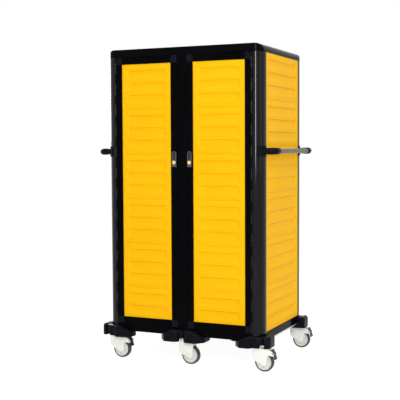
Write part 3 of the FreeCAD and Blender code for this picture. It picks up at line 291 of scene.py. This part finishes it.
FINISHES = {
    "frame_black": finish("black_coated_metal", (0.0012, 0.0011, 0.0016), (0.0020, 0.0019, 0.0026),
                          0.11, 0.02, "coat", 300.0, 0.00002, rub=(0.02, 0.02, 0.023),
                          rub_strength=0.3, dust=0.01, specular=0.02),
    "post_black": finish("black_corner_post", (0.0012, 0.0011, 0.0016), (0.0020, 0.0019, 0.0026),
                         0.11, 0.02, "coat", 300.0, 0.00002, rub=(0.02, 0.02, 0.023),
                         rub_strength=0.3, dust=0.01, specular=0.20),
    "cover_black": finish("black_lid", (0.0014, 0.0013, 0.0018), (0.0022, 0.0021, 0.0028),
                          0.20, 0.04, "grain", 900.0, 0.00004, rub=(0.02, 0.02, 0.023),
                          rub_strength=0.3, dust=0.012, specular=0.03),
    "panel_yellow": finish("yellow_moulded_panel", (0.95, 0.505, 0.0050), (0.92, 0.480, 0.0040),
                           0.42, 0.05, "grain", 1100.0, 0.00006, patch=3.0,
                           rub=(0.97, 0.60, 0.06), rub_strength=0.25, dust=0.01,
                           dust_tone=(0.6, 0.5, 0.3), specular=0.03),
    "moulded_black": finish("black_moulded_part", (0.0035, 0.0038, 0.0055),
                            (0.0055, 0.0060, 0.0080), 0.27, 0.05, "grain", 1200.0, 0.00006, rub=(0.03, 0.03, 0.036),
                            rub_strength=0.4, dust=0.015, specular=0.05),
    # Door frame corner blocks: their bluish grey base colour, lighter than the other black mouldings, is a painted
    # sheen; it also makes them a slightly less black plastic.
    "corner_black_painted_sheen": finish("black_corner_block_painted_sheen", (0.0048, 0.0055, 0.0080), (0.0068, 0.0077, 0.0108),
                           0.36, 0.06, "grain", 1200.0, 0.00006, rub=(0.04, 0.04, 0.046),
                           rub_strength=0.4, dust=0.015, specular=0.05),
    "bumper_black": finish("black_bumper", (0.0026, 0.0028, 0.0058), (0.0042, 0.0046, 0.0085),
                           0.36, 0.06, "grain", 800.0, 0.00010, rub=(0.035, 0.035, 0.042),
                           rub_strength=0.5, rub_width=0.004, dust=0.03, specular=0.06),
    "bar_grey": finish("grey_coated_tube", (0.078, 0.077, 0.066), (0.092, 0.090, 0.078),
                       0.36, 0.06, "coat", 420.0, 0.00004, rub=(0.16, 0.16, 0.15),
                       rub_strength=0.3, dust=0.04, specular=0.3),
    "rack_steel": finish("drawn_steel", (0.58, 0.59, 0.60), (0.50, 0.51, 0.52), 0.34, 0.07,
                         "brushed", 1100.0, 0.00003, metallic=1.0, dust=0.05),
    "hinge_black": finish("black_hinge", (0.006, 0.006, 0.008), (0.010, 0.010, 0.013), 0.26, 0.06,
                          "coat", 500.0, 0.00003, rub=(0.08, 0.08, 0.09), rub_strength=0.6,
                          rub_width=0.0012, specular=0.12),
    "hinge_matt": finish("black_hinge_fixed_half", (0.0022, 0.0022, 0.0030),
                         (0.0035, 0.0035, 0.0045), 0.62, 0.08, "coat", 500.0, 0.00003, rub=(0.04, 0.04, 0.045),
                         rub_strength=0.4, rub_width=0.0012, specular=0.05),
    "inner_grey": finish("grey_lining", (0.42, 0.43, 0.44), (0.36, 0.37, 0.38), 0.55, 0.08,
                         "grain", 700.0, 0.0001, dust=0.1),
    "latch_grey": finish("grey_latch_plate", (0.085, 0.085, 0.09), (0.065, 0.065, 0.07), 0.36, 0.07,
                         "coat", 700.0, 0.00003, rub=(0.4, 0.4, 0.41), rub_strength=0.6,
                         rub_width=0.001, specular=0.25),
    "lever_grey": finish("dark_grey_lever", (0.030, 0.030, 0.034), (0.022, 0.022, 0.026),
                         0.40, 0.08, "grain", 1500.0, 0.00004, rub=(0.25, 0.25, 0.26), rub_strength=0.5,
                         rub_width=0.001, specular=0.15),
    "lock_brass": finish("worn_brass", (0.98, 0.82, 0.36), (0.90, 0.68, 0.22), 0.40, 0.08,
                         "brushed", 1600.0, 0.00002, metallic=1.0, patch=60.0),
    "sill_aluminium": finish("plain_aluminium", (0.62, 0.63, 0.65), (0.54, 0.55, 0.57), 0.42, 0.07,
                             "brushed", 1000.0, 0.00003, metallic=1.0, dust=0.05),
    "caster_pale": finish("pale_caster_housing", (0.92, 0.93, 0.88), (0.88, 0.885, 0.83),
                          0.36, 0.06, "grain", 1300.0, 0.00005, patch=20.0,
                          rub=(0.88, 0.88, 0.85), rub_strength=0.4, dust=0.05,
                          dust_tone=(0.5, 0.48, 0.42)),
    "hub_pale": finish("pale_wheel_centre", (0.78, 0.79, 0.73), (0.71, 0.715, 0.66), 0.42, 0.07,
                       "grain", 1300.0, 0.00006, patch=30.0, rub=(0.82, 0.82, 0.78),
                       rub_strength=0.4, dust=0.05, dust_tone=(0.4, 0.38, 0.33)),
    "tyre_dark": finish("blue_grey_tyre", (0.052, 0.066, 0.080), (0.038, 0.050, 0.062), 0.46, 0.10,
                        "grain", 900.0, 0.00012, patch=40.0, rub=(0.12, 0.13, 0.15),
                        rub_strength=0.5, rub_width=0.003, dust=0.03, specular=0.25),
    "pedal_dark": finish("dark_pedal", (0.026, 0.034, 0.042), (0.018, 0.025, 0.032), 0.38, 0.08,
                         "grain", 900.0, 0.0001, rub=(0.08, 0.09, 0.10), rub_strength=0.5,
                         specular=0.2),
}

# ---- meshes ---------------------------------------------------------------------------------


def add_piece(name, mesh, body, slot, replaced=()):
    """Put a mesh in the scene as a piece that rides on a body."""
    piece = bpy.data.objects.new(name, mesh)
    bpy.context.scene.collection.objects.link(piece)
    if not mesh.materials:
        mesh.materials.append(FINISHES[slot])
    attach(piece, body)
    if replaced:
        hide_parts(*replaced)
    return piece


def body_of(node):
    return nodes[node]["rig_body"]


def shade(mesh, angle):
    """Smooth shading that breaks at edges sharper than the angle in degrees."""
    mesh.shade_smooth()
    mesh.set_sharp_from_angle(angle=math.radians(angle))


JOIN_WITHIN = 0.00001         # metres between points that are one point
FLAT_WITHIN = 0.6             # degrees between faces that are one face
FLAT_WEIGHT = 80              # how strongly the large faces rule the shading beside them


def clean_copy(node):
    """The node's mesh with its doubled points joined and its flat faces made whole."""
    mesh = nodes[node].data.copy()
    mesh.materials.clear()
    work = bmesh.new()
    work.from_mesh(mesh)
    bmesh.ops.remove_doubles(work, verts=work.verts, dist=JOIN_WITHIN)
    bmesh.ops.dissolve_limit(work, angle_limit=math.radians(FLAT_WITHIN), verts=work.verts,
                             edges=work.edges)
    work.to_mesh(mesh)
    work.free()
    return mesh


def with_modifiers(mesh, settings):
    """Mesh after a chain of modifiers, each given as its kind and its values."""
    holder = bpy.data.objects.new("holder", mesh)
    bpy.context.scene.collection.objects.link(holder)
    for kind, values in settings:
        modifier = holder.modifiers.new(kind.lower(), kind)
        for key, value in values.items():
            setattr(modifier, key, value)
    graph = bpy.context.evaluated_depsgraph_get()
    result = bpy.data.meshes.new_from_object(holder.evaluated_get(graph))
    bpy.data.objects.remove(holder)
    return result


def eased(node, name, slot, width, steps=2, angle=30.0, look=None):
    """The node again with its edges eased by a small rounding and its flat faces shaded flat.

    The finish is the slot's own, unless the piece has a look of another name.
    """
    mesh = clean_copy(node)
    mesh.shade_smooth()
    mesh = with_modifiers(mesh, [
        ("BEVEL", {"width": width, "segments": steps, "limit_method": "ANGLE",
                   "angle_limit": math.radians(angle), "miter_outer": "MITER_ARC"}),
        ("WEIGHTED_NORMAL", {"weight": FLAT_WEIGHT}),
    ])
    mesh.name = name
    mesh.materials.append(FINISHES[look or slot])
    return add_piece(name, mesh, body_of(node), slot, (node,))


def prism_faces(outline, low, high):
    """Points and faces of an upright prism on an outline of (x, y) points."""
    count = len(outline)
    points = [(x, y, z) for z in (low, high) for x, y in outline]
    faces = [tuple(range(count)), tuple(range(2 * count - 1, count - 1, -1))]
    for index in range(count):
        following = (index + 1) % count
        faces.append((following, index, count + index, count + following))
    return points, faces


def with_webs(mesh, outlines, low, high):
    """The mesh together with upright prisms that fill the valleys between its lobes."""
    work = bmesh.new()
    work.from_mesh(mesh)
    for outline in outlines:
        points, faces = prism_faces(outline, low, high)
        corners = [work.verts.new(point) for point in points]
        made = [work.faces.new([corners[index] for index in face]) for face in faces]
        bmesh.ops.recalc_face_normals(work, faces=made)
    work.to_mesh(mesh)
    work.free()
    return mesh


def softened(node, name, slot, webs):
    """The node as a soft moulding, its valleys webbed: relaid in even cells and smoothed."""
    low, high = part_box(node)
    mesh = with_webs(clean_copy(node), webs, low.z + WEB_RISE, high.z - WEB_DROP)
    mesh = with_modifiers(mesh, [
        ("REMESH", {"mode": "VOXEL", "voxel_size": BUMPER_CELL}),
        ("SMOOTH", {"factor": 0.5, "iterations": BUMPER_PASSES}),
        ("DECIMATE", {"ratio": BUMPER_KEEP}),
    ])
    mesh.name = name
    mesh.shade_smooth()
    return add_piece(name, mesh, body_of(node), slot, (node,))


# ---- ribbed panels --------------------------------------------------------------------------

FIELD = 0.2403                # one moulded field of three channels
CHANNEL_PITCH = 0.0656
CHANNEL_HALF = 0.0247         # half of a channel's height
CHANNEL_MARGIN = 0.028        # from the panel's side to a channel's end
CHANNEL_ROUND = 0.015
CHANNEL_DEPTH = 0.0074        # at the channel's upper edge
CHANNEL_SHALLOW = 0.30        # depth at the lower edge, as a share of the upper
CHANNEL_FULL_AT = 1.6         # half heights above the lower edge where the depth is full
CHANNEL_SLOPE = 0.0080        # width of the slope from the face to the channel's floor
LOWEST_EDGE = 0.007           # the lowest channel starts higher than this
LINE_HALF = 0.0024            # the fine line between two fields
LINE_DEPTH = 0.0024
LINE_PAST = 0.012             # how far the line runs past the channels' ends
LINE_FADE = 0.006
RIM_ROUND = 0.0018
RIM_STEPS = (0.0, 0.12, 0.4, 1.0)
PANEL_THICK = 0.024
PANEL_GAP = 0.0003            # between a rear panel and the post beside it
PANEL_CREASE = 50.0


def steps_between(start, end, count):
    return [start + (end - start) * index / count for index in range(count + 1)]


def channel_centres(height):
    centres = []
    for field in range(int(math.ceil(height / FIELD - 0.01))):
        for index in (1, 0, -1):
            centre = height - (field + 0.5) * FIELD + index * CHANNEL_PITCH
            if centre - CHANNEL_HALF > LOWEST_EDGE:
                centres.append(centre)
    return centres


def field_lines(height):
    return [height - field * FIELD for field in range(1, int(math.ceil(height / FIELD - 0.01)))]


def smooth_step(value):
    value = np.clip(value, 0.0, 1.0)
    return value * value * (3.0 - 2.0 * value)


def panel_relief(u, w, width, height):
    """How far the face lies back at (u, w): channels, field lines and rolled rim."""
    back = np.zeros_like(u)
    half_width = width / 2.0 - CHANNEL_MARGIN
    for centre in channel_centres(height):
        across = np.abs(u - width / 2.0) - (half_width - CHANNEL_ROUND)
        along = np.abs(w - centre) - (CHANNEL_HALF - CHANNEL_ROUND)
        outside = np.hypot(np.maximum(across, 0.0), np.maximum(along, 0.0))
        distance = outside + np.minimum(np.maximum(across, along), 0.0) - CHANNEL_ROUND
        scoop = CHANNEL_SHALLOW + (1.0 - CHANNEL_SHALLOW) * smooth_step(
            (w - centre + CHANNEL_HALF) / (CHANNEL_FULL_AT * CHANNEL_HALF))
        back = np.maximum(back, CHANNEL_DEPTH * scoop * smooth_step(-distance / CHANNEL_SLOPE))
    for line in field_lines(height):
        fade = smooth_step((half_width + LINE_PAST - np.abs(u - width / 2.0)) / LINE_FADE)
        groove = 1.0 - smooth_step(np.abs(w - line) / LINE_HALF)
        back = np.maximum(back, LINE_DEPTH * groove * fade)
    rim = np.minimum(np.minimum(u, width - u), np.minimum(w, height - w))
    roll = np.clip(1.0 - rim / RIM_ROUND, 0.0, 1.0)
    return back + RIM_ROUND * (1.0 - np.sqrt(np.maximum(1.0 - roll * roll, 0.0)))


def panel_lines(width, height):
    """Grid lines of a panel: close together where the face bends, wide apart where it is flat."""
    rim = [RIM_ROUND * share for share in RIM_STEPS]
    margin = steps_between(CHANNEL_MARGIN - 0.002, CHANNEL_MARGIN + CHANNEL_ROUND + 0.003, 11)
    middle = steps_between(margin[-1], width - margin[-1], 10)[1:-1]
    upright = rim + [0.014] + margin
    upright = upright + middle + [width - value for value in reversed(upright)]
    level = rim + [height - value for value in rim]
    for centre in channel_centres(height):
        for way in (-1.0, 1.0):
            edge = centre + way * (CHANNEL_HALF + 0.0008)
            level += steps_between(edge, edge - way * (CHANNEL_SLOPE + 0.0016), 7)
            level.append(edge - way * CHANNEL_ROUND)
        level += [centre - CHANNEL_HALF * 0.25, centre, centre + CHANNEL_HALF * 0.25]
    for line in field_lines(height):
        level += steps_between(line - LINE_HALF * 1.1, line + LINE_HALF * 1.1, 6)
    return upright, sorted(set(round(value, 6) for value in level))


def ribbed_slab(width, height, thick):
    """Points and faces of one closed panel: relief in front, plain behind."""
    across, along = panel_lines(width, height)
    u, w = np.meshgrid(np.array(across), np.array(along))
    depth = panel_relief(u, w, width, height)
    columns = len(across)
    rows = len(along)
    points = [Vector((float(a), float(b), float(c)))
              for a, b, c in zip(u.ravel(), depth.ravel(), w.ravel())]
    faces = []
    for row in range(rows - 1):
        for column in range(columns - 1):
            first = row * columns + column
            faces.append((first, first + 1, first + columns + 1, first + columns))
    ring = list(range(columns))
    ring += [row * columns + columns - 1 for row in range(1, rows)]
    ring += [(rows - 1) * columns + column for column in range(columns - 2, -1, -1)]
    ring += [row * columns for row in range(rows - 2, 0, -1)]
    start = len(points)
    points += [Vector((points[index].x, thick, points[index].z)) for index in ring]
    count = len(ring)
    for index in range(count):
        following = (index + 1) % count
        faces.append((ring[following], ring[index], start + index, start + following))
    faces.append(tuple(range(start, start + count)))
    return points, faces


def panel_mesh(name, placements, width, height):
    """One mesh with a panel at each placement."""
    points, faces = ribbed_slab(width, height, PANEL_THICK)
    all_points = []
    all_faces = []
    for placement in placements:
        start = len(all_points)
        all_points += [placement @ point for point in points]
        all_faces += [tuple(start + index for index in face) for face in faces]
    mesh = bpy.data.meshes.new(name)
    mesh.from_pydata(all_points, [], all_faces)
    mesh.update()
    shade(mesh, PANEL_CREASE)
    return mesh


def facing(x, y, z, turn):
    """Placement of a panel with its lower left corner at the point, turned about the upright."""
    return Matrix.Translation((x, y, z)) @ Matrix.Rotation(math.radians(turn), 4, "Z")


TONGUE = 0.0074               # the hidden edge of a door panel, inside the frame's groove


def dress_panels():
    for side in ("left", "right"):
        node = side + "_door_panel"
        low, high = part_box(node)
        width = high.x - low.x - 2.0 * TONGUE
        height = high.z - low.z - 2.0 * TONGUE
        place = facing(low.x + TONGUE, low.y, low.z + TONGUE, 0.0)
        mesh = panel_mesh(node + "_skin", [place], width, height)
        add_piece(node + "_skin", mesh, body_of(node), "panel_yellow", (node,))
    for side, turn in (("left", -90.0), ("right", 90.0)):
        node = "side_panel_" + side
        low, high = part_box(node)
        x = high.x if side == "right" else low.x
        y = low.y if side == "right" else high.y
        place = facing(x, y, low.z, turn)
        mesh = panel_mesh(node + "_skin", [place], high.y - low.y, high.z - low.z)
        add_piece(node + "_skin", mesh, body_of(node), "panel_yellow", (node,))
    low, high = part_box("rear_panels")
    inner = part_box("rear_centre_post")[1].x + PANEL_GAP
    places = [facing(high.x, high.y, low.z, 180.0), facing(-inner, high.y, low.z, 180.0)]
    mesh = panel_mesh("rear_panel_skins", places, high.x - inner, high.z - low.z)
    add_piece("rear_panel_skins", mesh, body_of("rear_panels"), "panel_yellow", ("rear_panels",))


# ---- casters --------------------------------------------------------------------------------

SPIN_STEPS = 72

# Half profiles of the wheel as (distance from its middle plane, radius).
TYRE_HALF = [(0.0006, 0.0500), (0.0070, 0.04985), (0.0104, 0.0493), (0.0109, 0.0484),
             (0.0114, 0.0488), (0.0138, 0.0471), (0.0153, 0.0450), (0.0159, 0.0428),
             (0.0156, 0.0418), (0.0146, 0.0413), (0.0146, 0.0410)]
HUB_HALF = [(0.0140, 0.04095), (0.0150, 0.0402), (0.0150, 0.0380), (0.0141, 0.0370),
            (0.0100, 0.0358), (0.0072, 0.0335), (0.0062, 0.0290), (0.0066, 0.0270),
            (0.0074, 0.0262), (0.0066, 0.0252), (0.0060, 0.0230), (0.0066, 0.0180),
            (0.0110, 0.0144), (0.0160, 0.0132), (0.0178, 0.0122), (0.0178, 0.0043)]


def lathe(profile, steps):
    """Closed ring from (y, radius) points turned about the Y axis."""
    points = []
    faces = []
    count = len(profile)
    for step in range(steps):
        angle = 2.0 * math.pi * step / steps
        for y, radius in profile:
            points.append((radius * math.sin(angle), y, radius * math.cos(angle)))
    for step in range(steps):
        following = (step + 1) % steps
        for index in range(count):
            beside = (index + 1) % count
            faces.append((step * count + index, step * count + beside,
                          following * count + beside, following * count + index))
    return points, faces


def mirrored_profile(half):
    """Profile made whole from its half at y > 0."""
    return [(-y, radius) for y, radius in reversed(half)] + half


def turned_mesh(name, half, crease, look):
    points, faces = lathe(mirrored_profile(half), SPIN_STEPS)
    mesh = bpy.data.meshes.new(name)
    mesh.from_pydata(points, [], faces)
    shade(mesh, crease)
    mesh.materials.append(FINISHES[look])
    return mesh


def wheel_centre(name):
    low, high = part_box(name + "_hub")
    return (low + high) / 2.0


def dress_casters():
    tyre = turned_mesh("tyre_ring", TYRE_HALF, 50.0, "tyre_dark")
    hub = turned_mesh("hub_disc", HUB_HALF, 35.0, "hub_pale")
    for depth in ("front", "rear"):
        for side in ("left", "centre", "right"):
            name = depth + "_" + side
            centre = wheel_centre(name)
            wheel = body_of(name + "_hub")
            for mesh, part, slot in ((tyre, "_tyre", "tyre_dark"), (hub, "_hub", "hub_pale")):
                piece = add_piece(name + part + "_turned", mesh, wheel, slot, (name + part,))
                piece.parent = None
                piece.location = centre
                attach(piece, wheel)
            eased(name + "_fork", name + "_fork_moulding", "caster_pale", 0.0022, 3)
            if side != "centre":
                eased(name + "_pedal", name + "_pedal_moulding", "pedal_dark", 0.0014, 3)


# ---- everything else ------------------------------------------------------------------------


# ARM_START is the distance from the centre plane at which a push bar bracket's arm is free.
ARM_START = 0.462
ARM_BLEND = 0.012             # over which the swell grows to its full size
ARM_SWELL = 0.0028


def swell_arms(mesh):
    """Fill out the moulded arms and sockets of the push bar brackets."""
    work = bmesh.new()
    work.from_mesh(mesh)
    work.normal_update()
    moves = []
    for point in work.verts:
        share = smooth_step((abs(point.co.x) - ARM_START) / ARM_BLEND)
        moves.append((point, point.normal * float(share) * ARM_SWELL))
    for point, move in moves:
        point.co += move
    work.to_mesh(mesh)
    work.free()


SILL_DEEPER = 2.6             # how many times as deep the strips' lips hang


def deepen_sills(mesh):
    """Hang the sill strips' lips further below the rails."""
    top = max(point.co.z for point in mesh.vertices)
    for point in mesh.vertices:
        point.co.z = top - (top - point.co.z) * SILL_DEEPER


def dress_frame():
    for node in ("front_posts", "rear_posts"):
        eased(node, node + "_profile", "frame_black", 0.0010, look="post_black")
    for node in ("front_centre_post", "rear_centre_post", "base_rails"):
        eased(node, node + "_profile", "frame_black", 0.0014, 3)
    eased("top_cover", "top_cover_moulding", "cover_black", 0.0030, 3, 45.0)
    for side in ("left", "right"):
        door = side + "_door_"
        eased(door + "frame", door + "frame_profile", "frame_black", 0.0012, 2)
        # The corner blocks' lighter, bluish black is partly a painted sheen.
        eased(door + "corners", door + "corner_mouldings", "moulded_black", 0.0012, 2,
              look="corner_black_painted_sheen")
        eased(door + "latch_plate", door + "latch_cover", "latch_grey", 0.0006, 2)
        eased(door + "lever", door + "lever_moulding", "lever_grey", 0.0005, 2)
        eased(door + "lock", door + "lock_turning", "lock_brass", 0.0005, 2)
    brackets = eased("handle_brackets", "handle_bracket_mouldings", "moulded_black",
                     0.0012, 2, 35.0)
    swell_arms(brackets.data)
    eased("bracket_screws", "bracket_screw_heads", "rack_steel", 0.0007, 2)
    deepen_sills(eased("sill_strips", "sill_strip_profiles", "sill_aluminium", 0.0006, 2).data)
    eased("rack_uprights", "rack_upright_tubes", "rack_steel", 0.0010, 2)
    eased("tray_runners", "tray_runner_bars", "rack_steel", 0.0006, 2)


WEB_RISE = 0.0170             # from a bumper's underside to its webs, over the swivel heads
WEB_DROP = 0.0050             # from a bumper's top down to its webs
BUMPER_CELL = 0.0024
BUMPER_PASSES = 16
BUMPER_KEEP = 0.3             # share of the faces that stays

# Outlines of the webs, as (inwards from the base rails' end, outwards from their front or back)
# at a corner and as (across, outwards) at the middle.
CORNER_WEB = [(0.056, 0.0005), (0.036, -0.0025), (0.020, -0.0115), (0.0105, -0.0205),
              (-0.0005, -0.040), (-0.0125, -0.034), (-0.0100, -0.002), (0.000, 0.0135),
              (0.022, 0.0200), (0.056, 0.0230)]
CENTRE_WEB = [(-0.032, 0.0005), (0.032, 0.0005), (0.032, 0.0200), (0.000, 0.0165), (-0.032, 0.0200)]


def dress_bumpers():
    """The bumpers as soft mouldings, with a web in the valley between each two lobes."""
    low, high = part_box("base_rails")
    corners = [[(way * (high.x - inward), end * (high.y + outward))
                for inward, outward in CORNER_WEB]
               for way in (-1, 1) for end in (-1, 1)]
    centres = [[(x, end * (high.y + outward)) for x, outward in CENTRE_WEB] for end in (-1, 1)]
    for node, webs in (("corner_bumpers", corners), ("centre_bumpers", centres)):
        softened(node, node[:-1] + "_mouldings", "bumper_black", webs)


def finish_nodes():
    """Finish of every construction node, by its own material slot."""
    for subpart in frame["record"]["subparts"]:
        node = nodes[subpart["node"]]
        for slot in node.material_slots:
            slot.material = FINISHES[subpart["material_slot"]]
    for slot in nodes["post_hinge_leaves"].material_slots:
        slot.material = FINISHES["hinge_matt"]


finish_nodes()
dress_panels()
dress_frame()
dress_bumpers()
dress_casters()

# ---- floor, light and camera ----------------------------------------------------------------


FLOOR_HALF = 9
FLOOR_WHITE = 1.25            # strength of the white in the floor's look, at full share
FLOOR_SHARE = 0.74            # share of that white, the rest is lit and holds the shadow
FILL_LEFT = 0.34              # strength of the world's fill from the left and from the right
FILL_RIGHT = 1.00

# Each lamp: name, place, the point that it faces, width, height, power in watts.
LAMPS = [
    ("tall_front_softbox", (1.85, -4.25, 2.05), (0.0, -0.3, 1.1), 0.40, 2.2, 105.0),
    ("right_fill", (5.0, -1.35, 1.9), (0.3, 0.0, 0.9), 1.2, 2.0, 7.0),
    ("rear_fill", (-3.4, 3.6, 2.2), (0.0, 0.0, 0.9), 1.8, 2.0, 60.0),
    ("overhead", (0.2, -0.4, 4.2), (0.0, 0.0, 0.8), 2.6, 2.6, 62.0),
]

# The photograph's camera: degrees, millimetres for sensor and lens, metres for its place.
CAMERA_PLACE = (2.042, -4.641, 1.146)
CAMERA_YAW = -24.20
CAMERA_PITCH = -3.27
CAMERA_ROLL = -0.26
SENSOR_WIDTH = 36.0
LENS_LENGTH = 81.63


def looked_at(tree, path):
    """1 for the rays that the camera, a reflection or a see-through piece sends out."""
    direct = math_node(tree, "ADD", path.outputs["Is Camera Ray"], path.outputs["Is Glossy Ray"])
    anything = math_node(tree, "ADD", direct, path.outputs["Is Transmission Ray"])
    return math_node(tree, "MINIMUM", anything, 1.0)


def make_floor():
    mesh = bpy.data.meshes.new("floor")
    corners = [(x * FLOOR_HALF, y * FLOOR_HALF, 0) for x, y in ((-1, -1), (1, -1), (1, 1), (-1, 1))]
    mesh.from_pydata(corners, [], [(0, 1, 2, 3)])
    floor = bpy.data.objects.new("floor", mesh)
    bpy.context.scene.collection.objects.link(floor)
    material = bpy.data.materials.new("pale_floor")
    material.use_nodes = True
    tree = material.node_tree
    shader = tree.nodes["Principled BSDF"]
    colour = place_effect(tree, MOTTLE, Tone=(0.86, 0.86, 0.86, 1),
                          Deeper_Tone=(0.84, 0.84, 0.84, 1), Patch_Size=1.0).outputs["Colour"]
    seen = tree.nodes.new("ShaderNodeLightPath")
    join(tree, colour, shader.inputs["Base Color"])
    shader.inputs["Roughness"].default_value = 0.9
    shader.inputs["Specular IOR Level"].default_value = 0.1
    white = tree.nodes.new("ShaderNodeEmission")
    white.inputs["Strength"].default_value = FLOOR_WHITE
    mix = tree.nodes.new("ShaderNodeMixShader")
    join(tree, math_node(tree, "MULTIPLY", looked_at(tree, seen), FLOOR_SHARE), mix.inputs[0])
    join(tree, shader.outputs[0], mix.inputs[1])
    join(tree, white.outputs[0], mix.inputs[2])
    join(tree, mix.outputs[0], tree.nodes["Material Output"].inputs["Surface"])
    mesh.materials.append(material)


def make_world():
    """White to the camera and in reflections, and soft fill that is stronger from the right."""
    world = bpy.data.worlds.new("studio")
    bpy.context.scene.world = world
    world.use_nodes = True
    tree = world.node_tree
    background = tree.nodes["Background"]
    background.inputs["Color"].default_value = (1, 1, 1, 1)
    path = tree.nodes.new("ShaderNodeLightPath")
    direction = tree.nodes.new("ShaderNodeSeparateXYZ")
    join(tree, tree.nodes.new("ShaderNodeTexCoord").outputs["Generated"], direction.inputs[0])
    fill = math_node(tree, "MULTIPLY", path.outputs["Is Diffuse Ray"],
                     span_node(tree, direction.outputs["X"], 0.0, 1.0, FILL_LEFT, FILL_RIGHT))
    strength = math_node(tree, "ADD", looked_at(tree, path), fill)
    join(tree, strength, background.inputs["Strength"])


def add_light(name, place, target, width, height, power):
    light = bpy.data.lights.new(name, "AREA")
    light.shape = "RECTANGLE"
    light.size = width
    light.size_y = height
    light.energy = power
    holder = bpy.data.objects.new(name, light)
    bpy.context.scene.collection.objects.link(holder)
    holder.location = place
    holder.rotation_euler = (Vector(target) - Vector(place)).to_track_quat("-Z", "Y").to_euler()


def make_lights():
    for lamp in LAMPS:
        add_light(*lamp)


def make_camera():
    lens = bpy.data.cameras.new("photo_camera")
    lens.sensor_width = SENSOR_WIDTH
    lens.lens = LENS_LENGTH
    holder = bpy.data.objects.new("photo_camera", lens)
    bpy.context.scene.collection.objects.link(holder)
    yaw, pitch, roll = (math.radians(turn) for turn in (CAMERA_YAW, CAMERA_PITCH, CAMERA_ROLL))
    ahead = Vector((math.sin(yaw) * math.cos(pitch), math.cos(yaw) * math.cos(pitch),
                    math.sin(pitch)))
    level = Vector((math.cos(yaw), -math.sin(yaw), 0.0))
    over = level.cross(ahead)
    right = level * math.cos(roll) + over * math.sin(roll)
    up = over * math.cos(roll) - level * math.sin(roll)
    matrix = Matrix((right, up, -ahead)).transposed().to_4x4()
    matrix.translation = CAMERA_PLACE
    holder.matrix_world = matrix
    bpy.context.scene.camera = holder


make_floor()
make_world()
make_lights()
make_camera()
bpy.context.scene.view_settings.view_transform = "Standard"
